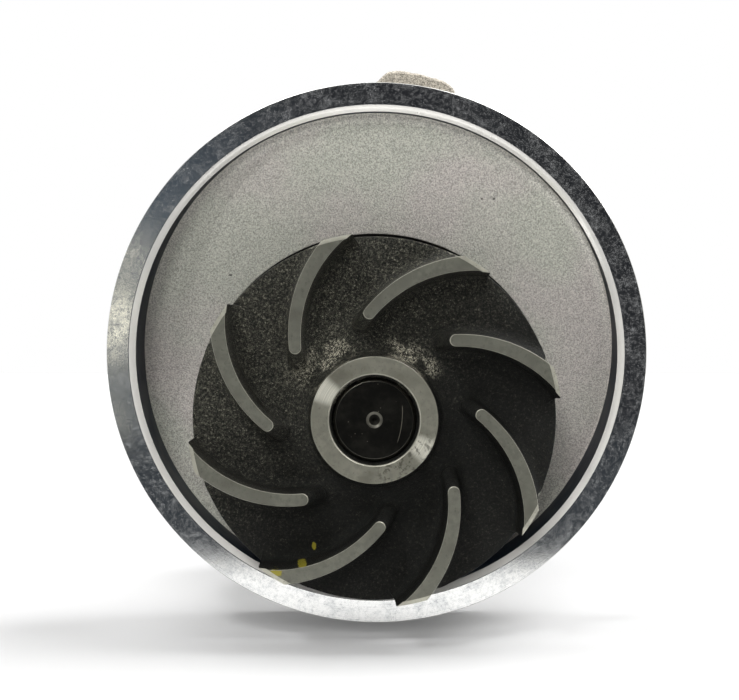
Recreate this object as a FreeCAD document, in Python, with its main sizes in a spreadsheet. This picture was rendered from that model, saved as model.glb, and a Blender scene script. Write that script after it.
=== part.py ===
import FreeCAD, Part
import os
import re
from math import cos, radians, sin

import Sketcher

# Engine coolant pump with a round, eccentric collar.
# Frame: the collar's axis is Y, +Z is up, and the origin is the centre of the collar's front face.
# The impeller faces -Y. The shaft runs parallel to the collar's axis, below it and a little to -X.
# "depth" counts along +Y from the collar's front face, and "reach" counts along -Y.

Vector = FreeCAD.Vector

SIZES = {
    "collar": {
        "collar_radius": 55.0,
        "collar_width": 24.0,
        "collar_edge": 0.3,
        "lip_width": 4.5,
        "lip_chamfer_width": 1.3,
        "lip_chamfer_depth": 0.9,
        "flange_step": 3.2,
        "flange_thickness": 6.0,
        "oring_section": 4.0,
        "oring_depth": 16.0,
        "oring_proud": 0.6,
        "oring_side_gap": 0.4,
    },
    "recess": {
        "plateau_depth": 3.2,
        "floor_depth": 12.8,
        "ramp_top": 36.0,
        "ramp_bottom": 14.0,
        "ramp_turn": 13.5,
        "pocket_wall_gap": 1.5,
        "pocket_depth": 15.0,
        "plate_thickness": 5.0,
    },
    "shaft place": {
        "shaft_offset": 0.5,
        "impeller_rim_gap": 0.2,
    },
    "shaft and hub": {
        "shaft_radius": 7.959,
        "shaft_recess": 1.0,
        "shaft_chamfer": 0.6,
        "centre_mark_radius": 1.5,
        "centre_mark_depth": 1.4,
        "hub_reach": 15.9,
        "drive_boss_wall": 5.041,
        "drive_boss_length": 22.5,
        "drive_flange_margin": 9.0,
        "drive_flange_thickness": 7.0,
        "drive_nose_wall": 3.041,
        "drive_nose_height": 2.5,
        "drive_gap": 3.0,
        "drive_bolt_circle": 44.0,
        "drive_hole_radius": 3.4,
        "drive_hole_count": 4,
    },
    "impeller": {
        "impeller_radius": 36.0,
        "disc_reach": 7.9,
        "disc_thickness": 3.5,
        "vane_height": 8.6,
        "vane_thickness": 2.7,
        "vane_draft": 2.0,
        "vane_root_radius": 19.6,
        "vane_curve_radius": 26.4,
        "vane_centre_radius": 19.75,
        "vane_centre_angle": 235.9,
        "vane_count": 8,
        "vane_tip_chamfer": 0.8,
        "hub_wall": 4.341,
        "hub_countersink": 0.8,
        "hub_root_width": 4.2,
        "hub_root_rise": 1.2,
        "disc_rise_width": 5.5,
        "back_boss_wall": 4.041,
        "back_boss_depth": 0.5,
    },
    "face seal": {
        "seat_width": 4.641,
        "seat_thickness": 4.5,
        "grommet_wall": 1.4,
        "grommet_flange": 1.0,
        "seal_face_gap": 0.02,
        "carbon_bore_gap": 1.841,
        "carbon_nose_width": 2.4,
        "carbon_nose_height": 1.4,
        "carbon_shoulder": 1.2,
        "carbon_thickness": 5.0,
        "stamping_wall": 0.7,
        "cup_side_gap": 1.65,
        "cup_length": 9.0,
        "cup_flange_width": 2.6,
        "bellows_wall": 1.0,
        "bellows_gap": 1.041,
        "bellows_fold": 2.8,
        "spring_side_gap": 0.4,
        "spring_wire": 1.4,
        "spring_turns": 3.0,
    },
    "bearing": {
        "bearing_wall": 2.231,
        "bearing_length": 44.0,
        "ball_radius": 2.75,
        "ball_count": 9,
        "ball_inset": 10.0,
        "rolling_gap": 0.03,
        "roller_radius": 2.375,
        "roller_length": 10.0,
        "roller_count": 10,
        "roller_inset": 13.0,
        "cage_width": 2.2,
        "cage_gap": 0.1,
        "cage_rim": 1.6,
        "lip_seal_thickness": 2.0,
        "lip_seal_inset": 0.7,
        "lip_seal_gap": 0.05,
    },
    "neck": {
        "neck_wall": 5.0,
        "neck_root_step": 3.0,
        "neck_root_run": 9.7,
        "neck_overhang": 1.5,
        "stop_step": 1.0,
        "chamber_length": 6.7,
        "weep_radius": 2.5,
        "flinger_width": 3.641,
        "flinger_thickness": 1.6,
        "flinger_inset": 2.7,
        "rib_count": 6,
        "rib_thickness": 4.0,
        "rib_bite": 1.3,
        "rib_rise": 30.0,
    },
    "lug": {
        "lug_turn": 8.0,
        "lug_rise": 4.6,
        "lug_tip_width": 13.0,
        "lug_root_width": 20.0,
        "lug_corner": 3.0,
        "lug_thickness": 12.0,
        "web_thickness": 8.0,
    },
}

doc = FreeCAD.newDocument("coolant_pump")
sheet = doc.addObject("Spreadsheet::Sheet", "dim")


def fill_sheet():
    """Write each driving dimension to its own cell, with its name as the cell's alias."""
    row = 1
    for group, sizes in SIZES.items():
        sheet.set(f"A{row}", group)
        row += 1
        for name, value in sizes.items():
            sheet.set(f"A{row}", name)
            sheet.set(f"B{row}", str(value))
            sheet.setAlias(f"B{row}", name)
            row += 1
    doc.recompute()


def bound(text):
    """The expression with each size's name pointing at its cell."""
    return re.sub(r"[a-z]+(?:_[a-z]+)+", r"dim.\g<0>", text)


def size(text):
    """The expression's value now, in millimetres or degrees."""
    found = sheet.evalExpression(bound(text))
    return float(getattr(found, "Value", found))


# Places that several pieces share, as expressions in the sheet's names.
WALL_RADIUS = "(collar_radius - lip_width - lip_chamfer_width)"
FLANGE_RADIUS = "(collar_radius + flange_step)"
FLANGE_BACK = "(collar_width + flange_thickness)"
PLATE_BACK = "(pocket_depth + plate_thickness)"
POCKET_RADIUS = "(impeller_radius + pocket_wall_gap)"
SHAFT_DROP = f"({WALL_RADIUS} - impeller_radius - impeller_rim_gap)"
HUB_RADIUS = "(shaft_radius + hub_wall)"
HUB_ROOT_RADIUS = f"({HUB_RADIUS} + hub_root_width)"
PITCH_RADIUS = "(shaft_radius + rolling_gap + roller_radius)"
BEARING_BORE = f"({PITCH_RADIUS} + roller_radius + rolling_gap)"
BEARING_RADIUS = f"({BEARING_BORE} + bearing_wall)"
NECK_RADIUS = f"({BEARING_RADIUS} + neck_wall)"
NECK_ROOT_RADIUS = f"({NECK_RADIUS} + neck_root_step)"
SEAT_BORE = "(shaft_radius + grommet_wall)"
SEAT_RADIUS = f"({SEAT_BORE} + seat_width)"
CARBON_BORE = "(shaft_radius + carbon_bore_gap)"
CARBON_NOSE_RADIUS = f"({CARBON_BORE} + carbon_nose_width)"
CARBON_RADIUS = f"({CARBON_NOSE_RADIUS} + carbon_shoulder)"
BELLOWS_BORE = "(shaft_radius + bellows_gap)"
BELLOWS_RADIUS = f"({BELLOWS_BORE} + bellows_fold)"
SPRING_RADIUS = f"({CARBON_RADIUS} + stamping_wall + spring_side_gap + spring_wire / 2)"
CUP_RADIUS = f"({SPRING_RADIUS} + spring_wire / 2 + cup_side_gap + stamping_wall)"
SHAFT_FRONT = "(hub_reach - shaft_recess)"
VANE_REACH = "(disc_reach + vane_height)"
SEAT_FRONT = "(back_boss_depth + grommet_flange)"
SEAT_BACK = f"({SEAT_FRONT} + seat_thickness)"
CARBON_FRONT = f"({SEAT_BACK} + seal_face_gap)"
CARBON_BACK = f"({CARBON_FRONT} + carbon_thickness)"
CUP_FRONT = "(pocket_depth - stamping_wall)"
CUP_BACK = f"({CUP_FRONT} + cup_length)"
SPRING_FRONT = f"({CARBON_BACK} + stamping_wall)"
SPRING_BACK = f"({CUP_BACK} - stamping_wall)"
CHAMBER_FRONT = f"({CUP_BACK} + stop_step)"
FLINGER_DEPTH = f"({CHAMBER_FRONT} + flinger_inset)"
BEARING_DEPTH = f"({CHAMBER_FRONT} + chamber_length)"
BEARING_BACK = f"({BEARING_DEPTH} + bearing_length)"
BALL_DEPTH = f"({BEARING_DEPTH} + ball_inset)"
ROLLER_DEPTH = f"({BEARING_BACK} - roller_inset)"
NECK_BACK = f"({BEARING_BACK} + neck_overhang)"
HUB_FRONT = f"({NECK_BACK} + drive_gap)"
SHAFT_BACK = f"({HUB_FRONT} + drive_boss_length)"
ON_SHAFT = {"x": "-shaft_offset", "z": f"-{SHAFT_DROP}"}


def origin_item(body, role):
    """The body's own origin plane or axis with that role."""
    return next(f for f in body.Origin.OriginFeatures if f.Role == role)


def new_body(name, on_shaft=True):
    """A body labelled as its node, placed on the shaft's axis or on the collar's."""
    body = doc.addObject("PartDesign::Body", name)
    body.Label = name
    body.Placement = FreeCAD.Placement()
    if on_shaft:
        for axis, text in ON_SHAFT.items():
            body.setExpression(f"Placement.Base.{axis}", bound(text))
    return body


def place_sketch(sketch, plane, offset):
    """Attach a sketch to a plane of its own body, moved along the plane's own axes."""
    sketch.AttachmentSupport = [(origin_item(sketch.getParentGeoFeatureGroup(), plane), "")]
    sketch.MapMode = "FlatFace"
    for axis, text in offset.items():
        sketch.setExpression(f"AttachmentOffset.Base.{axis}", bound(text))


def hold(sketch, kind, item, end, text):
    """Fix one coordinate of a sketch point, and bind it to the sheet."""
    axis = {"DistanceX": -2, "DistanceY": -1}[kind]
    if text == "0":
        sketch.addConstraint(Sketcher.Constraint("PointOnObject", item, end, axis))
        return
    index = sketch.addConstraint(Sketcher.Constraint(kind, -1, 1, item, end, size(text)))
    sketch.setExpression(f"Constraints[{index}]", bound(text))


def outline(body, name, points, plane="XY_Plane", offset=None):
    """A closed sketch of straight lines, each corner held by two bound coordinates."""
    sketch = body.newObject("Sketcher::SketchObject", name)
    place_sketch(sketch, plane, offset or {})
    corners = [Vector(size(across), size(along), 0) for across, along in points]
    count = len(corners)
    for index in range(count):
        sketch.addGeometry(Part.LineSegment(corners[index], corners[(index + 1) % count]))
    for index in range(count):
        sketch.addConstraint(Sketcher.Constraint("Coincident", index, 2, (index + 1) % count, 1))
    for index, (across, along) in enumerate(points):
        hold(sketch, "DistanceX", index, 1, across)
        hold(sketch, "DistanceY", index, 1, along)
    return sketch


def circle(body, name, across, along, radius, plane="XY_Plane", offset=None):
    """A sketch of one circle, its centre and radius bound to the sheet."""
    sketch = body.newObject("Sketcher::SketchObject", name)
    place_sketch(sketch, plane, offset or {})
    centre = Vector(size(across), size(along), 0)
    sketch.addGeometry(Part.Circle(centre, Vector(0, 0, 1), size(radius)))
    hold(sketch, "DistanceX", 0, 3, across)
    hold(sketch, "DistanceY", 0, 3, along)
    index = sketch.addConstraint(Sketcher.Constraint("Radius", 0, size(radius)))
    sketch.setExpression(f"Constraints[{index}]", bound(radius))
    return sketch


def turned(body, kind, name, sketch):
    """Turn a sketch a full circle about its own upright axis, adding or cutting."""
    feature = body.newObject(f"PartDesign::{kind}", name)
    feature.Profile = sketch
    feature.ReferenceAxis = (sketch, ["V_Axis"])
    feature.Angle = 360
    return feature


def lengthened(body, kind, name, sketch, length, reverse=False, both_ways=False):
    """Pad or pocket a sketch by a bound length."""
    feature = body.newObject(f"PartDesign::{kind}", name)
    feature.Profile = sketch
    feature.setExpression("Length", bound(length))
    feature.Reversed = reverse
    if both_ways:
        feature.SideType = "Symmetric"
    return feature


def pattern(body, name, feature, axis, count):
    """Repeat a feature evenly round an axis."""
    polar = body.newObject("PartDesign::PolarPattern", name)
    polar.Originals = [feature]
    polar.Axis = axis
    polar.Angle = 360
    polar.setExpression("Occurrences", bound(count))
    body.Tip = polar
    return polar


def turned_piece(name, points, on_shaft=True):
    """A sub-part that is one turned outline."""
    body = new_body(name, on_shaft)
    turned(body, "Revolution", f"{name}_turn", outline(body, f"{name}_outline", points))
    return body


# --- housing ---------------------------------------------------------------------------------


def add_recess_plate(body):
    """The round plate behind the impeller, with its ramped floor and the impeller's pocket."""
    plate = outline(body, "plate_outline", [
        ("0", "plateau_depth"),
        (WALL_RADIUS, "plateau_depth"),
        (WALL_RADIUS, PLATE_BACK),
        ("0", PLATE_BACK),
    ])
    turned(body, "Revolution", "plate", plate)
    ramp = outline(body, "ramp_outline", [
        ("0", "ramp_top"),
        ("plateau_depth", "ramp_top"),
        ("floor_depth", "-ramp_bottom"),
        ("floor_depth", "-collar_radius"),
        ("0", "-collar_radius"),
    ], plane="YZ_Plane")
    ramp.AttachmentOffset = FreeCAD.Placement(Vector(), FreeCAD.Rotation(Vector(1, 0, 0), 1))
    ramp.setExpression("AttachmentOffset.Rotation.Angle", bound("ramp_turn"))
    lengthened(body, "Pocket", "ramp", ramp, "2 * collar_radius", both_ways=True)
    pocket = outline(body, "pocket_outline", [
        ("0", "0"),
        (POCKET_RADIUS, "0"),
        (POCKET_RADIUS, "pocket_depth"),
        ("0", "pocket_depth"),
    ], offset=ON_SHAFT)
    turned(body, "Groove", "pocket", pocket)


def add_collar(body):
    """The machined collar with its lip, seal groove and stop flange."""
    groove_floor = "(collar_radius + oring_proud - oring_section)"
    half_groove = "(oring_section / 2 + oring_side_gap)"
    collar = outline(body, "collar_outline", [
        (WALL_RADIUS, "lip_chamfer_depth"),
        (f"{WALL_RADIUS} + lip_chamfer_width", "0"),
        ("collar_radius - collar_edge", "0"),
        ("collar_radius", "collar_edge"),
        ("collar_radius", f"oring_depth - {half_groove}"),
        (groove_floor, f"oring_depth - {half_groove}"),
        (groove_floor, f"oring_depth + {half_groove}"),
        ("collar_radius", f"oring_depth + {half_groove}"),
        ("collar_radius", "collar_width"),
        (FLANGE_RADIUS, "collar_width"),
        (FLANGE_RADIUS, FLANGE_BACK),
        (WALL_RADIUS, FLANGE_BACK),
    ])
    turned(body, "Revolution", "collar", collar)


def add_neck(body):
    """The bearing neck behind the plate, with ribs that stiffen it."""
    root_depth = f"({CHAMBER_FRONT} + neck_root_run)"
    neck = outline(body, "neck_outline", [
        ("0", "pocket_depth"),
        (NECK_ROOT_RADIUS, "pocket_depth"),
        (NECK_ROOT_RADIUS, root_depth),
        (NECK_RADIUS, f"{root_depth} + neck_root_step"),
        (NECK_RADIUS, NECK_BACK),
        ("0", NECK_BACK),
    ], offset=ON_SHAFT)
    turned(body, "Revolution", "neck", neck)
    rib_inner = f"({BEARING_RADIUS} + neck_wall / 2)"
    rib_outer = "(impeller_radius + impeller_rim_gap + rib_bite)"
    rib = outline(body, "rib_outline", [
        (rib_inner, "pocket_depth + plate_thickness / 2"),
        (rib_outer, "pocket_depth + plate_thickness / 2"),
        (rib_outer, f"{PLATE_BACK} + rib_thickness"),
        (NECK_RADIUS, f"{PLATE_BACK} + rib_rise"),
        (rib_inner, f"{PLATE_BACK} + rib_rise"),
    ], offset=ON_SHAFT)
    first = lengthened(body, "Pad", "rib", rib, "rib_thickness", both_ways=True)
    pattern(body, "ribs", first, (rib, ["V_Axis"]), "rib_count")


def add_lug(body):
    """The cast adjusting lug behind the flange, with a web to the neck."""
    half_tip = "lug_tip_width / 2"
    half_root = "lug_root_width / 2"
    top = f"({FLANGE_RADIUS} + lug_rise)"
    lug = outline(body, "lug_outline", [
        (f"-{half_root}", WALL_RADIUS),
        (half_root, WALL_RADIUS),
        (half_root, f"{top} - lug_corner"),
        (half_tip, top),
        (f"-{half_tip}", top),
        (f"-{half_root}", f"{top} - lug_corner"),
    ], plane="XZ_Plane")
    lug.AttachmentOffset = FreeCAD.Placement(Vector(), FreeCAD.Rotation(Vector(0, 0, 1), -1))
    lug.setExpression("AttachmentOffset.Base.z", bound("-collar_width"))
    lug.setExpression("AttachmentOffset.Rotation.Angle", bound("-lug_turn"))
    lengthened(body, "Pad", "lug", lug, "lug_thickness", reverse=True)
    web_foot = f"{BEARING_RADIUS} - {SHAFT_DROP} + neck_wall / 2"
    web = outline(body, "web_outline", [
        ("pocket_depth + plate_thickness / 2", web_foot),
        ("pocket_depth + plate_thickness / 2", f"{WALL_RADIUS} + lip_chamfer_width"),
        ("collar_width + lug_thickness", f"{WALL_RADIUS} + lip_chamfer_width"),
        (f"{PLATE_BACK} + rib_rise", web_foot),
    ], plane="YZ_Plane")
    web.AttachmentOffset = FreeCAD.Placement(Vector(), FreeCAD.Rotation(Vector(1, 0, 0), 1))
    web.setExpression("AttachmentOffset.Rotation.Angle", bound("lug_turn"))
    lengthened(body, "Pad", "web", web, "web_thickness", both_ways=True)


def bore_housing(body):
    """The bores on the shaft's axis, and the weep hole that drains the chamber between them."""
    bores = outline(body, "bore_outline", [
        ("0", "pocket_depth - plate_thickness"),
        (CUP_RADIUS, "pocket_depth - plate_thickness"),
        (CUP_RADIUS, CHAMBER_FRONT),
        (f"{BEARING_RADIUS} - stop_step", CHAMBER_FRONT),
        (f"{BEARING_RADIUS} - stop_step", BEARING_DEPTH),
        (BEARING_RADIUS, BEARING_DEPTH),
        (BEARING_RADIUS, f"{NECK_BACK} + neck_wall"),
        ("0", f"{NECK_BACK} + neck_wall"),
    ], offset=ON_SHAFT)
    turned(body, "Groove", "bores", bores)
    weep = circle(body, "weep_outline", "-shaft_offset", FLINGER_DEPTH, "weep_radius",
                  offset={"z": f"-{SHAFT_DROP}"})
    lengthened(body, "Pocket", "weep_hole", weep, "collar_radius")


def make_housing():
    body = new_body("housing", on_shaft=False)
    add_recess_plate(body)
    add_collar(body)
    add_neck(body)
    add_lug(body)
    bore_housing(body)
    return body


def make_body_o_ring():
    """The ring seal in the collar's groove, proud of the collar by its squeeze."""
    body = new_body("body_o_ring", on_shaft=False)
    centre = "collar_radius + oring_proud - oring_section / 2"
    section = circle(body, "oring_section_sketch", centre, "oring_depth", "oring_section / 2")
    turned(body, "Revolution", "oring_turn", section)
    return body


# --- rotating pieces -------------------------------------------------------------------------


def make_shaft():
    """The shaft, which is also the bearing's inner race."""
    mark = "centre_mark_radius"
    body = turned_piece("shaft", [
        ("0", f"-{SHAFT_FRONT} + centre_mark_depth"),
        (mark, f"-{SHAFT_FRONT}"),
        ("shaft_radius - shaft_chamfer", f"-{SHAFT_FRONT}"),
        ("shaft_radius", f"-{SHAFT_FRONT} + shaft_chamfer"),
        ("shaft_radius", f"{SHAFT_BACK} - shaft_chamfer"),
        ("shaft_radius - shaft_chamfer", SHAFT_BACK),
        (mark, SHAFT_BACK),
        ("0", f"{SHAFT_BACK} - centre_mark_depth"),
    ])
    race = circle(body, "shaft_race_section", PITCH_RADIUS, BALL_DEPTH, "ball_radius + rolling_gap")
    turned(body, "Groove", "shaft_race", race)
    return body


def vane_outline(body):
    """One curved vane seen from the front: two arcs about one centre, closed by radial ends."""
    sketch = body.newObject("Sketcher::SketchObject", "vane_outline")
    place_sketch(sketch, "XZ_Plane", {"z": VANE_REACH})
    across = "vane_centre_radius * cos(vane_centre_angle)"
    along = "vane_centre_radius * sin(vane_centre_angle)"
    centre = Vector(size(across), size(along), 0)
    outer = "vane_curve_radius + vane_thickness / 2"
    inner = "vane_curve_radius - vane_thickness / 2"
    tip_angle = vane_angle("(impeller_radius + vane_thickness / 2)")
    root_angle = vane_angle("vane_root_radius")
    for radius in (outer, inner):
        ring = Part.Circle(centre, Vector(0, 0, 1), size(radius))
        sketch.addGeometry(Part.ArcOfCircle(ring, radians(size(tip_angle)), radians(size(root_angle))))
    for arc_end, angle in ((1, tip_angle), (2, root_angle)):
        way = Vector(cos(radians(size(angle))), sin(radians(size(angle))), 0)
        start = centre + way * size(inner)
        line = sketch.addGeometry(Part.LineSegment(start, centre + way * size(outer)))
        sketch.addConstraint(Sketcher.Constraint("Coincident", line, 1, 1, arc_end))
        sketch.addConstraint(Sketcher.Constraint("Coincident", line, 2, 0, arc_end))
        sketch.addConstraint(Sketcher.Constraint("PointOnObject", 0, 3, line))
        index = sketch.addConstraint(Sketcher.Constraint("Angle", line, radians(size(angle))))
        sketch.setExpression(f"Constraints[{index}]", bound(angle))
    sketch.addConstraint(Sketcher.Constraint("Coincident", 0, 3, 1, 3))
    hold(sketch, "DistanceX", 0, 3, across)
    hold(sketch, "DistanceY", 0, 3, along)
    for arc, radius in enumerate((outer, inner)):
        index = sketch.addConstraint(Sketcher.Constraint("Radius", arc, size(radius)))
        sketch.setExpression(f"Constraints[{index}]", bound(radius))
    return sketch


def vane_angle(reach):
    """The direction from the vane's arc centre to its centreline at that distance from the shaft."""
    squares = f"vane_centre_radius ^ 2 + vane_curve_radius ^ 2 - {reach} ^ 2"
    cosine = f"({squares}) / (2 * vane_centre_radius * vane_curve_radius)"
    return f"(vane_centre_angle - 180) * 1 deg - acos({cosine})"


def make_impeller():
    """The open impeller: a disc with a hub, and curved vanes on its front."""
    body = turned_piece("impeller", [
        ("shaft_radius", "hub_countersink - hub_reach"),
        ("shaft_radius + hub_countersink", "-hub_reach"),
        (HUB_RADIUS, "-hub_reach"),
        (f"{HUB_RADIUS} + hub_root_rise / 2", "-(disc_reach + vane_height / 3)"),
        (HUB_ROOT_RADIUS, "-(disc_reach + hub_root_rise)"),
        (f"{HUB_ROOT_RADIUS} + disc_rise_width", "-disc_reach"),
        ("impeller_radius", "-disc_reach"),
        ("impeller_radius", "disc_thickness - disc_reach"),
        ("shaft_radius + back_boss_wall", "disc_thickness - disc_reach"),
        ("shaft_radius + back_boss_wall", "back_boss_depth"),
        ("shaft_radius", "back_boss_depth"),
    ])
    vane = lengthened(body, "Pad", "vane", vane_outline(body),
                      "vane_height + disc_thickness / 2", reverse=True)
    vane.setExpression("TaperAngle", bound("vane_draft"))
    pattern(body, "vanes", vane, (origin_item(body, "Y_Axis"), [""]), "vane_count")
    turned_down = outline(body, "rim_cut_outline", [
        ("impeller_radius - vane_tip_chamfer", f"-{VANE_REACH}"),
        ("impeller_radius", f"vane_tip_chamfer - {VANE_REACH}"),
        ("impeller_radius", "disc_thickness"),
        ("impeller_radius + 3 * vane_thickness", "disc_thickness"),
        ("impeller_radius + 3 * vane_thickness", f"-({VANE_REACH} + vane_tip_chamfer)"),
        ("impeller_radius - vane_tip_chamfer", f"-({VANE_REACH} + vane_tip_chamfer)"),
    ])
    turned(body, "Groove", "rim_cut", turned_down)
    return body


def make_drive_hub():
    """The flanged hub pressed on the back of the shaft, with tapped holes for a pulley."""
    flange_back = f"({SHAFT_BACK} - drive_nose_height)"
    flange_radius = "(drive_bolt_circle / 2 + drive_flange_margin)"
    body = turned_piece("drive_hub", [
        ("shaft_radius", HUB_FRONT),
        ("shaft_radius + drive_boss_wall", HUB_FRONT),
        ("shaft_radius + drive_boss_wall", f"{flange_back} - drive_flange_thickness"),
        (flange_radius, f"{flange_back} - drive_flange_thickness"),
        (flange_radius, flange_back),
        ("shaft_radius + drive_nose_wall", flange_back),
        ("shaft_radius + drive_nose_wall", SHAFT_BACK),
        ("shaft_radius", SHAFT_BACK),
    ])
    hole = circle(body, "drive_hole_outline", "drive_bolt_circle / 2", "0", "drive_hole_radius",
                  plane="XZ_Plane", offset={"z": f"-{SHAFT_BACK}"})
    first = lengthened(body, "Pocket", "drive_hole", hole,
                       "drive_nose_height + 2 * drive_flange_thickness", reverse=True)
    pattern(body, "drive_holes", first, (origin_item(body, "Y_Axis"), [""]), "drive_hole_count")
    return body


def make_flinger():
    """The ring on the shaft that throws seeping coolant outwards, above the weep hole."""
    front = f"({FLINGER_DEPTH} - flinger_thickness / 2)"
    back = f"({FLINGER_DEPTH} + flinger_thickness / 2)"
    return turned_piece("flinger", [
        ("shaft_radius", f"{front} - flinger_thickness / 2"),
        ("shaft_radius + flinger_thickness", f"{front} - flinger_thickness / 2"),
        ("shaft_radius + flinger_thickness", front),
        ("shaft_radius + flinger_width", front),
        ("shaft_radius + flinger_width", back),
        ("shaft_radius", back),
    ])


# --- face seal -------------------------------------------------------------------------------


def make_seat_grommet():
    """The rubber cup that holds the turning seat on the shaft."""
    return turned_piece("seat_grommet", [
        ("shaft_radius", "back_boss_depth"),
        (f"{SEAT_RADIUS} - grommet_flange", "back_boss_depth"),
        (f"{SEAT_RADIUS} - grommet_flange", SEAT_FRONT),
        (SEAT_BORE, SEAT_FRONT),
        (SEAT_BORE, f"{SEAT_BACK} - grommet_flange"),
        ("shaft_radius", f"{SEAT_BACK} - grommet_flange"),
    ])


def make_seat_ring():
    """The hard turning seat, one half of the sealing pair."""
    return turned_piece("seat_ring", [
        (SEAT_BORE, SEAT_FRONT),
        (SEAT_RADIUS, SEAT_FRONT),
        (SEAT_RADIUS, SEAT_BACK),
        (SEAT_BORE, SEAT_BACK),
    ])


def make_carbon_ring():
    """The still carbon ring whose nose runs against the seat."""
    shoulder = f"({CARBON_FRONT} + carbon_nose_height)"
    return turned_piece("carbon_ring", [
        (CARBON_BORE, CARBON_FRONT),
        (CARBON_NOSE_RADIUS, CARBON_FRONT),
        (CARBON_NOSE_RADIUS, shoulder),
        (CARBON_RADIUS, shoulder),
        (CARBON_RADIUS, CARBON_BACK),
        (CARBON_BORE, CARBON_BACK),
    ])


def make_spring_retainer():
    """The stamped shell round the carbon's back edge, which the spring pushes on."""
    spring_edge = f"({SPRING_RADIUS} + spring_wire / 2)"
    grip = f"({CARBON_FRONT} + carbon_thickness / 2)"
    return turned_piece("spring_retainer", [
        (CARBON_RADIUS, grip),
        (f"{CARBON_RADIUS} + stamping_wall", grip),
        (f"{CARBON_RADIUS} + stamping_wall", CARBON_BACK),
        (spring_edge, CARBON_BACK),
        (spring_edge, SPRING_FRONT),
        (BELLOWS_RADIUS, SPRING_FRONT),
        (BELLOWS_RADIUS, CARBON_BACK),
        (CARBON_RADIUS, CARBON_BACK),
    ])


def make_seal_bellows():
    """The rubber sleeve that seals the carbon to the cup and lets it move along the shaft."""
    fold = f"({CARBON_BACK} + ({SPRING_BACK} - {CARBON_BACK}) * 0.45)"
    return turned_piece("seal_bellows", [
        (CARBON_BORE, CARBON_BACK),
        (BELLOWS_RADIUS, CARBON_BACK),
        (BELLOWS_RADIUS, fold),
        (f"{BELLOWS_BORE} + bellows_wall", f"{fold} + bellows_wall"),
        (f"{BELLOWS_BORE} + bellows_wall", f"{SPRING_BACK} - bellows_wall"),
        (BELLOWS_RADIUS, f"{SPRING_BACK} - bellows_wall"),
        (BELLOWS_RADIUS, SPRING_BACK),
        (BELLOWS_BORE, SPRING_BACK),
        (BELLOWS_BORE, fold),
        (f"{BELLOWS_RADIUS} - bellows_wall", f"{fold} - bellows_wall"),
        (f"{BELLOWS_RADIUS} - bellows_wall", f"{CARBON_BACK} + bellows_wall"),
        (CARBON_BORE, f"{CARBON_BACK} + bellows_wall"),
    ])


def make_seal_cup():
    """The stamped cup pressed into the housing, which holds the spring and the bellows."""
    return turned_piece("seal_cup", [
        (f"{CUP_RADIUS} + cup_flange_width", CUP_FRONT),
        (f"{CUP_RADIUS} + cup_flange_width", "pocket_depth"),
        (CUP_RADIUS, "pocket_depth"),
        (CUP_RADIUS, CUP_BACK),
        (BELLOWS_BORE, CUP_BACK),
        (BELLOWS_BORE, SPRING_BACK),
        (f"{CUP_RADIUS} - stamping_wall", SPRING_BACK),
        (f"{CUP_RADIUS} - stamping_wall", CUP_FRONT),
    ])


def make_seal_spring():
    """The coil spring between the retainer and the cup."""
    body = new_body("seal_spring")
    wire = circle(body, "wire_section", SPRING_RADIUS, f"{SPRING_FRONT} + spring_wire / 2",
                  "spring_wire / 2")
    coil = body.newObject("PartDesign::AdditiveHelix", "coil")
    coil.Profile = wire
    coil.ReferenceAxis = (wire, ["V_Axis"])
    coil.Mode = "height-turns-angle"
    coil.setExpression("Height", bound(f"{SPRING_BACK} - {SPRING_FRONT} - spring_wire"))
    coil.setExpression("Turns", bound("spring_turns"))
    return body


# --- bearing ---------------------------------------------------------------------------------


def make_bearing_sleeve():
    """The bearing's outer ring, pressed into the neck, with a race for the balls."""
    body = turned_piece("bearing_sleeve", [
        (BEARING_BORE, BEARING_DEPTH),
        (BEARING_RADIUS, BEARING_DEPTH),
        (BEARING_RADIUS, BEARING_BACK),
        (BEARING_BORE, BEARING_BACK),
    ])
    race = circle(body, "sleeve_race_section", PITCH_RADIUS, BALL_DEPTH,
                  "ball_radius + rolling_gap")
    turned(body, "Groove", "sleeve_race", race)
    return body


def rolling_pattern(body, kind, name, radius, depth, count, length=None):
    """Balls, rollers or their cage pockets: one on the pitch circle, repeated round the shaft."""
    item = body.newObject(f"PartDesign::{kind}", name)
    item.AttachmentSupport = [(origin_item(body, "XZ_Plane"), "")]
    item.MapMode = "FlatFace"
    item.setExpression("Radius", bound(radius))
    far_end = depth
    if length:
        item.setExpression("Height", bound(length))
        far_end = f"{depth} + ({length}) / 2"
    item.setExpression("AttachmentOffset.Base.x", bound(PITCH_RADIUS))
    item.setExpression("AttachmentOffset.Base.z", bound(f"-({far_end})"))
    pattern(body, f"{name}_set", item, (origin_item(body, "Y_Axis"), [""]), count)


def make_rolling_row(name, radius, depth, count, length=None):
    """A row of separate balls or rollers, evenly spaced in the bearing."""
    body = new_body(name)
    kind = "AdditiveCylinder" if length else "AdditiveSphere"
    rolling_pattern(body, kind, f"{name}_item", radius, depth, count, length)
    return body


def make_ball_cage():
    """The ring that spaces the balls, with a radial hole for each."""
    half_width = "(ball_radius + cage_rim)"
    body = cage_ring("ball_cage", BALL_DEPTH, half_width)
    hole = circle(body, "ball_hole_outline", BALL_DEPTH, "0", "ball_radius + cage_gap",
                  plane="YZ_Plane")
    pocket = lengthened(body, "Pocket", "ball_hole", hole, f"2 * {BEARING_RADIUS}", reverse=True)
    pattern(body, "ball_holes", pocket, (origin_item(body, "Y_Axis"), [""]), "ball_count")
    return body


def make_roller_cage():
    """The ring that spaces the rollers, with a window for each."""
    body = cage_ring("roller_cage", ROLLER_DEPTH, "(roller_length / 2 + cage_gap + cage_rim)")
    rolling_pattern(body, "SubtractiveCylinder", "roller_window", "roller_radius + cage_gap",
                    ROLLER_DEPTH, "roller_count", "roller_length + 2 * cage_gap")
    return body


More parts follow.
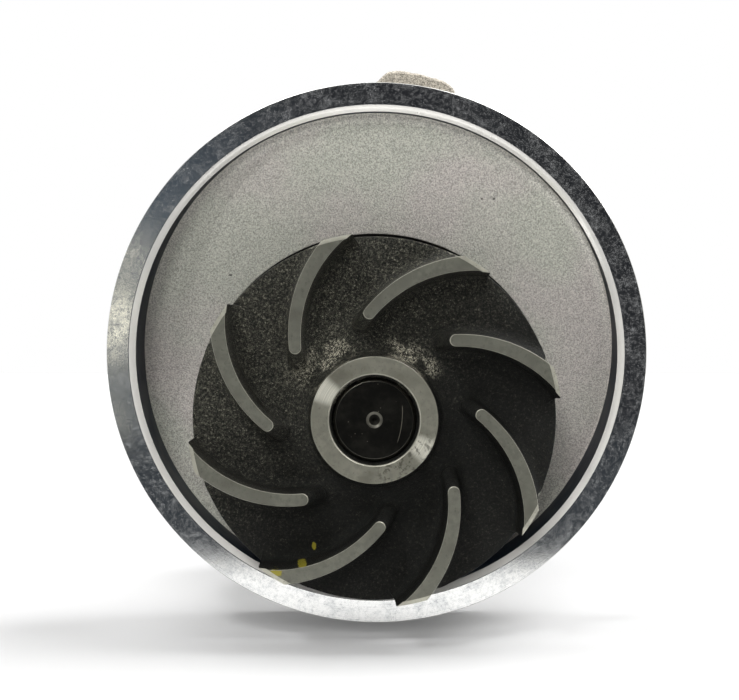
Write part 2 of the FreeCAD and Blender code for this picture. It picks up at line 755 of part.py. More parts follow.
def cage_ring(name, depth, half_width):
    """The plain ring that a bearing cage is cut from."""
    inner = f"({PITCH_RADIUS} - cage_width / 2)"
    outer = f"({PITCH_RADIUS} + cage_width / 2)"
    return turned_piece(name, [
        (inner, f"{depth} - {half_width}"),
        (outer, f"{depth} - {half_width}"),
        (outer, f"{depth} + {half_width}"),
        (inner, f"{depth} + {half_width}"),
    ])


def make_bearing_seal(name, front):
    """A lip seal that closes one end of the bearing, clear of the shaft by its oil film."""
    return turned_piece(name, [
        ("shaft_radius + lip_seal_gap", f"{front} + lip_seal_thickness / 4"),
        ("shaft_radius + lip_seal_thickness", f"{front} + lip_seal_thickness / 4"),
        ("shaft_radius + lip_seal_thickness", front),
        (BEARING_BORE, front),
        (BEARING_BORE, f"{front} + lip_seal_thickness"),
        ("shaft_radius + lip_seal_thickness", f"{front} + lip_seal_thickness"),
        ("shaft_radius + lip_seal_gap", f"{front} + 3 * lip_seal_thickness / 4"),
    ])


def make_pump():
    """Every sub-part, in the order the pump is put together."""
    back_seal_front = f"({BEARING_BACK} - lip_seal_inset - lip_seal_thickness)"
    return [
        make_housing(),
        make_body_o_ring(),
        make_bearing_sleeve(),
        make_shaft(),
        make_rolling_row("ball_row", "ball_radius", BALL_DEPTH, "ball_count"),
        make_ball_cage(),
        make_rolling_row("roller_row", "roller_radius", ROLLER_DEPTH, "roller_count",
                         "roller_length"),
        make_roller_cage(),
        make_bearing_seal("front_bearing_seal", f"({BEARING_DEPTH} + lip_seal_inset)"),
        make_bearing_seal("rear_bearing_seal", back_seal_front),
        make_flinger(),
        make_seal_cup(),
        make_seal_bellows(),
        make_seal_spring(),
        make_spring_retainer(),
        make_carbon_ring(),
        make_seat_ring(),
        make_seat_grommet(),
        make_impeller(),
        make_drive_hub(),
    ]


def write_parts(pieces):
    """Check that everything computed and is sound, then write one file for each sub-part."""
    doc.recompute()
    for item in doc.Objects:
        if {"Invalid", "Error"} & set(item.State):
            raise RuntimeError(f"{item.Name} failed to compute: {item.getStatusString()}")
    for piece in pieces:
        if piece.Shape.isNull() or not piece.Shape.isValid():
            raise RuntimeError(f"{piece.Label} has no sound shape")
    os.makedirs("parts", exist_ok=True)
    for piece in pieces:
        piece.Shape.exportStep(f"parts/{piece.Label}.step")


fill_sheet()
write_parts(make_pump())
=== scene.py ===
"""Looks of an engine coolant pump with a round, eccentric collar.

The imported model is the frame: X to the right, Y along the collar's axis towards the drive
hub, and Z up. Sizes in this script are millimetres; meshes are scaled to metres as the last
step of shaping them.
"""

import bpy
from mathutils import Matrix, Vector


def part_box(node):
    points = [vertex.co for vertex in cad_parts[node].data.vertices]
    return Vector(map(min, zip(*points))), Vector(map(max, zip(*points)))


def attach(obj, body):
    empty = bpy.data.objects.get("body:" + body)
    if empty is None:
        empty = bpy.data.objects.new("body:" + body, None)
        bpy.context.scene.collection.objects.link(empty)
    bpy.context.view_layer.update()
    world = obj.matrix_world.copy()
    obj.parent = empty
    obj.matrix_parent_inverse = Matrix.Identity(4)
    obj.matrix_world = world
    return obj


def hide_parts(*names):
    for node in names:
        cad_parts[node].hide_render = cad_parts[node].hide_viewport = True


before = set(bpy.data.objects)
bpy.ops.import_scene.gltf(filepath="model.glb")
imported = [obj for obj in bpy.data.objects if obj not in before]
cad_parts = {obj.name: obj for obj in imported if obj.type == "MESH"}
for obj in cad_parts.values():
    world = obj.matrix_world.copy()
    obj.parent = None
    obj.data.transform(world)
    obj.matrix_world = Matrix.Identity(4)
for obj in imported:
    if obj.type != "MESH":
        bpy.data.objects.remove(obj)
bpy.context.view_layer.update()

import logging
import math
from dataclasses import dataclass
from enum import Enum
from typing import Any, Callable, Sequence

import bmesh
import bpy
from mathutils import Matrix, Vector, noise

MM = 0.001
FULL_TURN = 2.0 * math.pi
TOOL_DETAIL = 4.0
ROUNDING = 3
YELLOW_PAINT = (0.30, 0.26, 0.03)
log = logging.getLogger("pump")

Axis = tuple[float, float]
Colour = tuple[float, float, float]
Corner = tuple[float, float, float]
Ring = Callable[[float], Vector]


# --- shader maths ----------------------------------------------------------------------------


class Wire:
    """A shader value that takes part in Python arithmetic by adding Math nodes."""

    def __init__(self, graph: "Graph", socket: bpy.types.NodeSocket) -> None:
        """Wrap an output socket of the graph."""
        self.graph = graph
        self.socket = socket

    def math(self, operation: str, *others: "Wire | float") -> "Wire":
        """Apply a Math node to this value.

        Args:
            operation: The Math node's operation.
            others: The node's further inputs.

        Returns:
            The node's result.
        """
        values = {index: value for index, value in enumerate((self, *others))}
        return self.graph.node("ShaderNodeMath", {"operation": operation}, values)

    def __add__(self, other: "Wire | float") -> "Wire":
        """Sum."""
        return self.math("ADD", other)

    __radd__ = __add__

    def __mul__(self, other: "Wire | float") -> "Wire":
        """Product."""
        return self.math("MULTIPLY", other)

    __rmul__ = __mul__

    def __sub__(self, other: "Wire | float") -> "Wire":
        """Difference."""
        return self.math("SUBTRACT", other)

    def __rsub__(self, other: float) -> "Wire":
        """Difference from a plain number."""
        return (self * -1.0) + other

    def __truediv__(self, other: "Wire | float") -> "Wire":
        """Quotient."""
        return self.math("DIVIDE", other)

    def __pow__(self, other: "Wire | float") -> "Wire":
        """Power."""
        return self.math("POWER", other)

    def between(self, low: float, high: float) -> "Wire":
        """Rise smoothly from 0 at low to 1 at high, or fall if low is the larger.

        Args:
            low: Where it is 0.
            high: Where it is 1.

        Returns:
            A value from 0 to 1.
        """
        settings = {"interpolation_type": "SMOOTHSTEP"}
        if low < high:
            return self.graph.node("ShaderNodeMapRange", settings, {0: self, 1: low, 2: high})
        return 1.0 - self.graph.node("ShaderNodeMapRange", settings, {0: self, 1: high, 2: low})


class Graph:
    """A material's node tree, with the position on the piece in millimetres."""

    def __init__(self, name: str) -> None:
        """Make an empty material around one Principled shader."""
        self.material = bpy.data.materials.new(name)
        self.material.use_nodes = True
        self.tree = self.material.node_tree
        self.shader = self.tree.nodes["Principled BSDF"]
        coordinates = self.tree.nodes.new("ShaderNodeTexCoord")
        self.place = self.node(
            "ShaderNodeMapping", {}, {"Vector": Wire(self, coordinates.outputs["Object"]),
                                      "Scale": (1 / MM, 1 / MM, 1 / MM)})

    def node(self, kind: str, settings: dict[str, Any], sockets: dict[Any, Any],
             output: int | str = 0) -> Wire:
        """Add a node.

        Args:
            kind: The node's type.
            settings: Its properties, such as a Math node's operation.
            sockets: Values or wires for its inputs, by name or index.
            output: Which output to return.

        Returns:
            That output.
        """
        made = self.tree.nodes.new(kind)
        for name, value in settings.items():
            setattr(made, name, value)
        for key, value in sockets.items():
            self.feed(made.inputs[key], value)
        return Wire(self, made.outputs[output])

    def feed(self, socket: bpy.types.NodeSocket, value: Any) -> None:
        """Link a wire to a socket, or set a plain value on it.

        Args:
            socket: The input to feed.
            value: A wire, a number, or a colour without its alpha.
        """
        if isinstance(value, Wire):
            self.tree.links.new(value.socket, socket)
        elif socket.type == "RGBA" and len(value) == 3:
            socket.default_value = (*value, 1.0)
        else:
            socket.default_value = value

    def noise(self, per_mm: float, detail: float = 3.0, roughness: float = 0.5,
              place: Wire | None = None) -> Wire:
        """Cloudy noise.

        Args:
            per_mm: About how many features a millimetre has.
            detail: How many finer layers are added.
            roughness: How strong the finer layers are.
            place: Where it is read, if not at the point itself.

        Returns:
            A value round 0.5.
        """
        return self.node("ShaderNodeTexNoise", {}, {
            "Vector": place or self.place, "Scale": per_mm, "Detail": detail,
            "Roughness": roughness})

    def cells(self, per_mm: float) -> Wire:
        """Distance to the nearest of scattered points, for specks."""
        return self.node("ShaderNodeTexVoronoi", {}, {
            "Vector": self.place, "Scale": per_mm}, "Distance")

    def axes(self) -> tuple[Wire, Wire, Wire]:
        """The position's three coordinates."""
        split = self.node("ShaderNodeSeparateXYZ", {}, {0: self.place})
        outputs = split.socket.node.outputs
        return Wire(self, outputs[0]), Wire(self, outputs[1]), Wire(self, outputs[2])

    def radius(self, x: float, z: float) -> Wire:
        """Distance from a line along Y."""
        across, _, up = self.axes()
        return (((across - x) ** 2.0) + ((up - z) ** 2.0)) ** 0.5

    def turn(self, axis: Axis) -> Wire:
        """Angle about a line along Y, from X towards Z."""
        across, _, up = self.axes()
        return (up - axis[1]).math("ARCTAN2", across - axis[0])

    def facing(self, axis: Axis, degrees: float) -> Wire:
        """Cosine of the angle about that line from a direction."""
        return (self.turn(axis) - math.radians(degrees)).math("COSINE")

    def tool_marks(self, per_mm: float, roughness: float, *runs: Wire) -> Wire:
        """Noise that changes only with the given distances, as a lathe's tool leaves it."""
        line = self.node("ShaderNodeCombineXYZ", {}, dict(enumerate(runs)))
        return self.noise(per_mm, TOOL_DETAIL, roughness, line)

    def blend(self, share: Wire | float, low: Any, high: Any) -> Wire:
        """Mix two colours by a share from 0 to 1."""
        return self.node("ShaderNodeMix", {"data_type": "RGBA"}, {0: share, 6: low, 7: high}, 2)

    def multiply(self, colour: Any, by: Any) -> Wire:
        """Multiply two colours."""
        return self.node("ShaderNodeMix", {"data_type": "RGBA", "blend_type": "MULTIPLY"},
                         {0: 1.0, 6: colour, 7: by}, 2)

    def bump(self, height: Wire, depth: float) -> Wire:
        """A normal from a height that spans the given depth in millimetres."""
        return self.node("ShaderNodeBump", {}, {
            "Height": height, "Distance": depth * MM, "Strength": 1.0}, "Normal")

    def dress(self, **sockets: Any) -> bpy.types.Material:
        """Set sockets of the Principled shader.

        Args:
            sockets: Values or wires by the socket's name, with underscores for its spaces.

        Returns:
            The material.
        """
        for name, value in sockets.items():
            title = name.replace("_", " ").title().replace("Ior", "IOR")
            self.feed(self.shader.inputs[title], value)
        return self.material


@dataclass(frozen=True)
class Spot:
    """A small mark on a surface seen from the front, in millimetres."""

    x: float
    z: float
    half_x: float
    half_z: float


def mark_spots(g: Graph, colour: Wire, spots: Sequence[Spot], paint: Colour) -> Wire:
    """Add small ragged marks of one colour.

    Args:
        g: The material's graph.
        colour: The colour under the marks.
        spots: Where the marks are and how large.
        paint: The marks' colour.

    Returns:
        The colour with the marks on it.
    """
    if not spots:
        return colour
    ragged = g.noise(1.3, 5.0, 0.75) * 1.5
    across, _, up = g.axes()
    for spot in spots:
        reach = (((across - spot.x) / spot.half_x) ** 2.0
                 + ((up - spot.z) / spot.half_z) ** 2.0) ** 0.5
        colour = g.blend((reach + ragged).between(1.72, 1.46) * 0.9, colour, paint)
    return colour


@dataclass(frozen=True)
class TurnedAluminium:
    """Bright aluminium left by a lathe, with handling stains."""

    name: str
    axis: Axis
    colour: Colour
    stain: Colour
    roughness: float
    stain_share: float = 0.5
    marks: float = 0.004
    haze: float = 0.1
    metallic: float = 1.0

    def build(self) -> bpy.types.Material:
        """Make the material."""
        g = Graph(self.name)
        radius = g.radius(*self.axis)
        rings = g.tool_marks(2.4, 0.7, radius)
        film = g.noise(0.26, 7.0, 0.75).between(0.46, 0.62)
        smudge = g.noise(1.2, 7.0, 0.80).between(0.47, 0.64)
        fleck = g.noise(2.6, 3.0, 0.75).between(0.57, 0.66)
        streaks = g.tool_marks(4.0, 0.7, radius).between(0.46, 0.60)
        patch = (film * 0.45) + (smudge * 0.55) + (streaks * 0.25)
        colour = g.blend(patch * self.stain_share, self.colour, self.stain)
        rough = (film * 0.04) + (smudge * 0.07) + (rings * 0.04) + self.roughness
        height = (rings * 0.9) + (g.noise(2.5, 3.0) * 0.5)
        dull = (((smudge * 0.50) + (film * 0.15) + (smudge * film * 0.4) + (fleck * 0.7)
                 + (streaks * film * 0.5)) * -self.haze + self.metallic)
        return g.dress(base_color=colour, metallic=dull, roughness=rough,
                       normal=g.bump(height, self.marks))


@dataclass(frozen=True)
class PaintedDarkBoreWall:
    """A finely turned bore wall whose near-black navy colour is painted shade and painted
    reflection of the dim room.
    """

    name: str
    colour: Colour = (0.0060, 0.0100, 0.0165)
    streak: Colour = (0.015, 0.023, 0.035)

    def build(self) -> bpy.types.Material:
        """Make the material."""
        g = Graph(self.name)
        _, along, _ = g.axes()
        turning = g.tool_marks(1.1, 0.5, along)
        cloud = g.noise(0.11, 4.0, 0.6).between(0.42, 0.70)
        share = (turning.between(0.50, 0.64) * 0.5) + (cloud * 0.3)
        return g.dress(base_color=g.blend(share, self.colour, self.streak), metallic=0.0,
                       roughness=(cloud * 0.1) + 0.42, specular_ior_level=0.12,
                       normal=g.bump(turning, 0.01))


@dataclass(frozen=True)
class CastAluminium:
    """Sand-blasted cast aluminium: pale grey, even grit, a few pits painted near black as their
    shade, and a painted highlight along the upper rim where one is given.
    """

    name: str
    colour: Colour = (0.455, 0.457, 0.398)
    tint: Colour = (0.485, 0.452, 0.420)
    low: float = 0.60
    high: float = 1.34
    grit: float = 0.42
    metallic: float = 0.25
    rim: float = 0.0
    pits: tuple[Spot, ...] = ()

    def build(self) -> bpy.types.Material:
        """Make the material."""
        g = Graph(self.name)
        grit = g.noise(3.0, 6.0, 0.8)
        fine = g.noise(5.5, 2.0, 0.6)
        cloud = g.noise(0.035, 3.0, 0.5).between(0.38, 0.62)
        colour = g.blend(cloud, self.colour, self.tint)
        # Painted highlight: a lighter band just inside the rim radius, on the upper part only,
        # stands in for light caught where the floor meets the wall.
        if self.rim:
            _, _, up = g.axes()
            edge = g.radius(0.0, 0.0).between(self.rim - 2.6, self.rim - 0.4)
            colour = g.blend(edge * up.between(-8.0, 22.0) * 0.8, colour, (0.68, 0.66, 0.60))
        grain = (grit * 0.65) + (fine * 0.35)
        speckle = g.blend(grain.between(0.42, 0.58), (self.low,) * 3, (self.high,) * 3)
        # Painted shade: the pits are near-black spots that stand in for the shade inside them.
        colour = mark_spots(g, g.multiply(colour, speckle), self.pits, (0.03, 0.028, 0.026))
        return g.dress(base_color=colour, metallic=self.metallic, roughness=(grit * 0.3) + 0.36,
                       normal=g.bump(grain, self.grit))


@dataclass(frozen=True)
class CastIron:
    """Dark oiled cast iron with a coarse skin, whose glints and lighter upper left are painted into
    its colour.
    """

    name: str
    axis: Axis
    colour: Colour = (0.0095, 0.0098, 0.0092)
    ridge: Colour = (0.085, 0.083, 0.064)
    # The colour of the painted glints.
    bright: Colour = (0.40, 0.38, 0.30)
    dabs: tuple[Spot, ...] = ()

    def build(self) -> bpy.types.Material:
        """Make the material."""
        g = Graph(self.name)
        grit = g.noise(1.8, 6.0, 0.85)
        fine = g.noise(5.0, 2.0, 0.6)
        lumps = g.noise(0.30, 3.0, 0.5)
        across, _, up = g.axes()
        # Painted light: this share rises towards the upper left of the shaft, so the skin's
        # wrinkles and glints are painted lighter and denser on the side the light falls on.
        painted_light = ((up - self.axis[1]) - (across - self.axis[0]) * 0.8).between(-14.0, 34.0)
        reach = g.radius(*self.axis)
        near_hub = reach.between(22.0, 13.5)
        oily = g.noise(0.07, 3.0, 0.5).between(0.42, 0.62)
        grain = (grit * 0.65) + (fine * 0.35)
        # Painted highlights: warm bright patches in the grain beside the hub, up to the right and,
        # weaker, up to the left.
        right = g.facing(self.axis, 57.0).between(0.90, 0.985) * reach.between(17.5, 14.5)
        left = g.facing(self.axis, 131.0).between(0.86, 0.98) * reach.between(21.0, 15.5)
        painted_glints = (right + (left * 0.55)) * lumps.between(0.40, 0.56)
        wrinkle = grain.between(0.44, 0.60) * ((painted_light * 0.85) + 0.12)
        # Painted glints: the grain's peaks take the bright colour, more so towards the upper left;
        # they also turn more metallic and smoother.
        glint = grain.between(0.555, 0.66) * ((painted_light * 0.75) + 0.14)
        colour = g.blend(wrinkle, self.colour, self.ridge)
        colour = g.blend(glint, colour, self.bright)
        colour = g.blend(painted_glints * grain.between(0.47, 0.61), colour, (0.90, 0.85, 0.66))
        colour = mark_spots(g, colour, self.dabs, YELLOW_PAINT)
        rough = 0.50 - (glint * 0.20) - (painted_glints * 0.12) - (oily * near_hub * 0.10)
        return g.dress(base_color=colour, metallic=(glint * 0.4) + 0.25, roughness=rough,
                       normal=g.bump(grain + (lumps * 1.6), 0.42), specular_ior_level=0.13)


@dataclass(frozen=True)
class FacedIron:
    """Cast iron faced by a lathe: olive grey with fine rings and handling stains."""

    name: str
    axis: Axis
    colour: Colour = (0.150, 0.150, 0.122)
    stain: Colour = (0.080, 0.078, 0.062)
    roughness: float = 0.36
    stain_share: float = 0.6
    marks: float = 0.010
    # How strongly glints are painted onto the face.
    glint_paint: float = 0.0
    dabs: tuple[Spot, ...] = ()

    def build(self) -> bpy.types.Material:
        """Make the material."""
        g = Graph(self.name)
        rings = g.tool_marks(4.5, 0.7, g.radius(*self.axis))
        grime = g.noise(0.20, 6.0, 0.68).between(0.48, 0.68)
        fleck = g.noise(1.5, 3.0, 0.65).between(0.58, 0.70)
        tone = g.noise(0.8, 3.0, 0.6).between(0.3, 0.7)
        colour = g.blend(grime * self.stain_share, self.colour, self.stain)
        colour = g.blend(fleck * 0.5, colour, self.stain)
        shade = g.blend(tone, (0.86, 0.86, 0.86), (1.12, 1.12, 1.12))
        colour = g.multiply(colour, shade)
        # Painted glints: bright sectors up to the left and down to the right of the axis, broken by
        # the turning rings, stand in for light thrown back by a turned face.
        if self.glint_paint:
            double = ((g.turn(self.axis) * 2.0) - math.radians(300.0)).math("COSINE")
            painted_light = double.between(0.86, 1.0) * ((rings.between(0.3, 0.7) * 0.6) + 0.3)
            colour = g.blend(painted_light * self.glint_paint, colour, (0.95, 0.93, 0.80))
            # Darker towards the lower right of the axis, in noisy patches.
            darker_lower_right = (g.facing(self.axis, -52.0).between(0.72, 0.94)
                    * g.noise(0.75, 6.0, 0.75).between(0.50, 0.60))
            colour = g.blend(darker_lower_right * 0.75, colour, (0.060, 0.057, 0.042))
        colour = mark_spots(g, colour, self.dabs, YELLOW_PAINT)
        rough = (rings * 0.16) + (grime * 0.10) + self.roughness
        return g.dress(base_color=colour, metallic=0.5, roughness=rough,
                       normal=g.bump(rings - (fleck * 0.5), self.marks))


@dataclass(frozen=True)
class GroundSteel:
    """Ground or turned steel, from bright to blackened."""

    name: str
    axis: Axis
    colour: Colour = (0.50, 0.50, 0.49)
    stain: Colour = (0.26, 0.24, 0.21)
    roughness: float = 0.24
    metallic: float = 1.0
    scratch: bool = False

    def build(self) -> bpy.types.Material:
        """Make the material."""
        g = Graph(self.name)
        _, along, up = g.axes()
        marks = g.tool_marks(3.2, 0.5, g.radius(*self.axis), along)
        grime = g.noise(0.30, 6.0, 0.72).between(0.40, 0.74)
        colour = g.blend(grime * 0.40, self.colour, self.stain)
        if self.scratch:
            arc = g.radius(self.axis[0] - 13.0, self.axis[1] + 1.6) - 18.4
            mark = arc.math("ABSOLUTE").between(0.10, 0.02)
            length = (up - (self.axis[1] - 0.8)).math("ABSOLUTE").between(3.8, 3.0)
            colour = g.blend(mark * length * 0.8, colour, (0.30, 0.28, 0.22))
            specks = g.cells(0.8).between(0.10, 0.05)
            colour = g.blend(specks * 0.5, colour, (0.28, 0.26, 0.20))
        rough = (marks * 0.14) + (grime * 0.18) + self.roughness
        return g.dress(base_color=colour, metallic=self.metallic, roughness=rough,
                       normal=g.bump(marks + (grime * 0.4), 0.006))


@dataclass(frozen=True)
class Moulded:
    """Moulded rubber, nylon, carbon or ceramic: a fine even skin with slight mottling."""

    name: str
    colour: Colour
    mottle: Colour
    roughness: float = 0.5
    grain: float = 0.02

    def build(self) -> bpy.types.Material:
        """Make the material."""
        g = Graph(self.name)
        fine = g.noise(3.0, 4.0, 0.6)
        cloud = g.noise(0.2, 4.0, 0.6).between(0.35, 0.7)
        colour = g.blend(cloud, self.colour, self.mottle)
        rough = (fine * 0.18) + (cloud * 0.08) + (self.roughness - 0.13)
        return g.dress(base_color=colour, roughness=rough, normal=g.bump(fine, self.grain))


class Wardrobe:
    """Builds each finish once and hands out its material."""

    def __init__(self) -> None:
        """Start with no materials made."""
        self.made: dict[str, bpy.types.Material] = {}

    def get(self, finish: Any) -> bpy.types.Material:
        """The finish's material, made on first use."""
        if finish.name not in self.made:
            self.made[finish.name] = finish.build()
        return self.made[finish.name]


WARDROBE = Wardrobe()


# --- shaping ---------------------------------------------------------------------------------


class Body(Enum):
    """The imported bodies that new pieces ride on."""

    HOUSING = "housing"
    ROTOR = "rotor"


def reach_from(axis: Axis, place: Vector) -> float:
    """A place's distance from a line along Y."""
    return math.hypot(place.x - axis[0], place.z - axis[1])


def link(name: str, data: Any) -> bpy.types.Object:
    """Put data into the scene as an object at the origin.

    Args:
        name: The object's name.
        data: Its mesh, lamp or camera.

    Returns:
        The object.
    """
    made = bpy.data.objects.new(name, data)
    bpy.context.scene.collection.objects.link(made)
    return made


def settle(bm: bmesh.types.BMesh, name: str) -> bpy.types.Object:
    """Turn a shaped mesh into an object and free it.

    Args:
        bm: The shaped mesh, in metres.
        name: The object's name.

    Returns:
        The object.
    """
    mesh = bpy.data.meshes.new(name)
    bm.to_mesh(mesh)
    bm.free()
    return link(name, mesh)


@dataclass(frozen=True)
class Span:
    """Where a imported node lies, in millimetres."""

    low: tuple[float, float, float]
    high: tuple[float, float, float]

    @classmethod
    def of(cls, node: str) -> "Span":
        """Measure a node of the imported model."""
        low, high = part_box(node)
        return cls(tuple(v / MM for v in low), tuple(v / MM for v in high))

    @property
    def axis(self) -> Axis:
        """The x and z of the middle."""
        return (self.low[0] + self.high[0]) / 2, (self.low[2] + self.high[2]) / 2

    @property
    def radius(self) -> float:
        """Half the width along X."""
        return (self.high[0] - self.low[0]) / 2

    @property
    def front(self) -> float:
        """The end nearest the impeller's face."""
        return self.low[1]

    @property
    def back(self) -> float:
        """The end nearest the drive hub's face."""
        return self.high[1]


class Workpiece:
    """A mesh being shaped in millimetres, then finished as a piece of the pump."""

    def __init__(self, name: str) -> None:
        """Start with an empty mesh."""
        self.name = name
        self.bm = bmesh.new()

    def turn(self, axis: Axis, corners: Sequence[Corner], steps: int = 192) -> "Workpiece":
        """Spin a closed outline about a line along Y.

        Args:
            axis: The line's x and z.
            corners: Each corner's radius, place along Y, and rounding radius.
            steps: How many facets go round.

        Returns:
            This workpiece.
        """
        x, z = axis
        outline = [self.bm.verts.new((x + radius, along, z)) for radius, along, _ in corners]
        face = self.bm.faces.new(outline)
        for size in sorted({corner[2] for corner in corners if corner[2] > 0}):
            picked = [v for v, corner in zip(outline, corners) if corner[2] == size and v.is_valid]
            bmesh.ops.bevel(self.bm, geom=picked, offset=size, offset_type="OFFSET",
                            affect="VERTICES", segments=ROUNDING, profile=0.5, material=-1)
        faces = [f for f in self.bm.faces if abs(f.normal.y) < 0.5 or f is face]
        bmesh.ops.delete(self.bm, geom=faces, context="FACES_ONLY")
        bmesh.ops.spin(self.bm, geom=self.bm.verts[:] + self.bm.edges[:], cent=(x, 0, z),
                       axis=(0, 1, 0), angle=FULL_TURN, steps=steps, use_merge=True)
        self.face_outwards()
        return self

    def loft(self, count: int, rings: Sequence[Ring], closed: bool = True) -> "Workpiece":
        """Skin a row of rings, each given as a place for every turn from 0 to 1.

        Args:
            count: How many points each ring has.
            rings: The rings in order.
            closed: Whether the last ring joins the first; otherwise both ends are capped.

        Returns:
            This workpiece.
        """
        bmesh.ops.create_circle(self.bm, segments=count, radius=1.0)
        self.bm.verts.ensure_lookup_table()
        current = list(self.bm.verts)
        shares = [math.atan2(v.co.y, v.co.x) / FULL_TURN % 1.0 for v in current]
        edges = list(self.bm.edges)
        first = edges
        for vert, share in zip(current, shares):
            vert.co = rings[0](share)
        for ring in rings[1:]:
            made = bmesh.ops.extrude_edge_only(self.bm, edges=edges)["geom"]
            fresh = {g for g in made if isinstance(g, bmesh.types.BMVert)}
            current = [self.partner(vert, fresh) for vert in current]
            edges = [g for g in made if isinstance(g, bmesh.types.BMEdge)
                     and all(v in fresh for v in g.verts)]
            for vert, share in zip(current, shares):
                vert.co = ring(share)
        if closed:
            bmesh.ops.bridge_loops(self.bm, edges=first + edges)
        else:
            bmesh.ops.edgeloop_fill(self.bm, edges=first)
            bmesh.ops.edgeloop_fill(self.bm, edges=edges)
        self.face_outwards()
        return self

    @staticmethod
    def partner(vert: bmesh.types.BMVert, fresh: set[bmesh.types.BMVert]) -> bmesh.types.BMVert:
        """The new vertex that an extrusion drew from this one."""
        return next(e.other_vert(vert) for e in vert.link_edges if e.other_vert(vert) in fresh)

    def slab(self, corners: Sequence[Vector], depth: Vector, bevel: float) -> "Workpiece":
        """Extrude a flat outline and round all its edges.

        Args:
            corners: The outline's corners.
            depth: How far and which way it is extruded.
            bevel: The edges' rounding radius.

        Returns:
            This workpiece.
        """
        face = self.bm.faces.new([self.bm.verts.new(corner) for corner in corners])
        made = bmesh.ops.extrude_face_region(self.bm, geom=[face])["geom"]
        moved = [g for g in made if isinstance(g, bmesh.types.BMVert)]
        bmesh.ops.translate(self.bm, verts=moved, vec=depth)
        self.face_outwards()
        bmesh.ops.bevel(self.bm, geom=self.bm.edges[:], offset=bevel, offset_type="OFFSET",
                        affect="EDGES", segments=ROUNDING, profile=0.5, material=-1)
        return self

    def face_outwards(self) -> None:
        """Merge doubles and point every face out."""
        bmesh.ops.remove_doubles(self.bm, verts=self.bm.verts[:], dist=1e-4)
        bmesh.ops.recalc_face_normals(self.bm, faces=self.bm.faces[:])

    def zone(self, picker: Callable[[Vector, Vector], int]) -> "Workpiece":
        """Give each face a finish.

        Args:
            picker: Picks the finish's number from a face's middle and its normal.

        Returns:
            This workpiece.
        """
        for face in self.bm.faces:
            face.material_index = picker(face.calc_center_median(), face.normal)
        return self

    def swing(self, turned: Matrix, shift: Vector | None = None) -> "Workpiece":
        """Turn the mesh about the collar's axis, then shift it.

        Args:
            turned: The turn.
            shift: The shift in millimetres.

        Returns:
            This workpiece.
        """
        bmesh.ops.rotate(self.bm, verts=self.bm.verts[:], cent=(0, 0, 0), matrix=turned)
        bmesh.ops.translate(self.bm, verts=self.bm.verts[:], vec=shift or Vector())
        return self

    def release(self, finishes: Sequence[Any]) -> bpy.types.Object:
        """Scale the mesh to metres and hand it over as an object with its finishes.

        Args:
            finishes: The finishes, in the order of their zones.

        Returns:
            The object.
        """
        bmesh.ops.scale(self.bm, vec=(MM, MM, MM), verts=self.bm.verts[:])
        made = settle(self.bm, self.name)
        for finish in finishes:
            made.data.materials.append(WARDROBE.get(finish))
        return made

    def finish(self, finishes: Sequence[Any], body: Body, node: str,
               sharp: float = 38.0) -> bpy.types.Object:
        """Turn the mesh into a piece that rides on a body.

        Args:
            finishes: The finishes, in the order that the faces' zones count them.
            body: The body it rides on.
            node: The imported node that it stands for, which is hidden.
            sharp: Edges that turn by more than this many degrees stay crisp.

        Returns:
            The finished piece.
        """
        self.bm.normal_update()
        for edge in self.bm.edges:
            turn = edge.calc_face_angle(0.0) if len(edge.link_faces) == 2 else 0.0
            edge.smooth = turn < math.radians(sharp)
        for face in self.bm.faces:
            face.smooth = True
        piece = self.release(finishes)
        piece.modifiers.new("even_shading", "WEIGHTED_NORMAL").keep_sharp = True
        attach(piece, body.value)
        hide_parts(node)
        log.info("%s: %d faces", self.name, len(piece.data.polygons))
        return piece


def drill(piece: bpy.types.Object, cutters: Sequence[bpy.types.Object]) -> None:
    """Cut holes in a piece and throw the cutters away.

    Args:
        piece: The piece to cut.
        cutters: Closed meshes of the holes' shapes.
    """
    for cutter in cutters:
        cut = piece.modifiers.new("hole", "BOOLEAN")
        cut.operation = "DIFFERENCE"
        cut.solver = "EXACT"
        cut.object = cutter
    piece.modifiers.move(0, len(piece.modifiers) - 1)
    settled = piece.modifiers[-1]
    settled.show_viewport = False
    bpy.context.view_layer.update()
    shown = piece.evaluated_get(bpy.context.evaluated_depsgraph_get())
    cut_mesh = bpy.data.meshes.new_from_object(shown)
    settled.show_viewport = True
    for modifier in [m for m in piece.modifiers if m.type == "BOOLEAN"]:
        piece.modifiers.remove(modifier)
    piece.data = cut_mesh
    for cutter in cutters:
        bpy.data.objects.remove(cutter)


# --- housing ---------------------------------------------------------------------------------


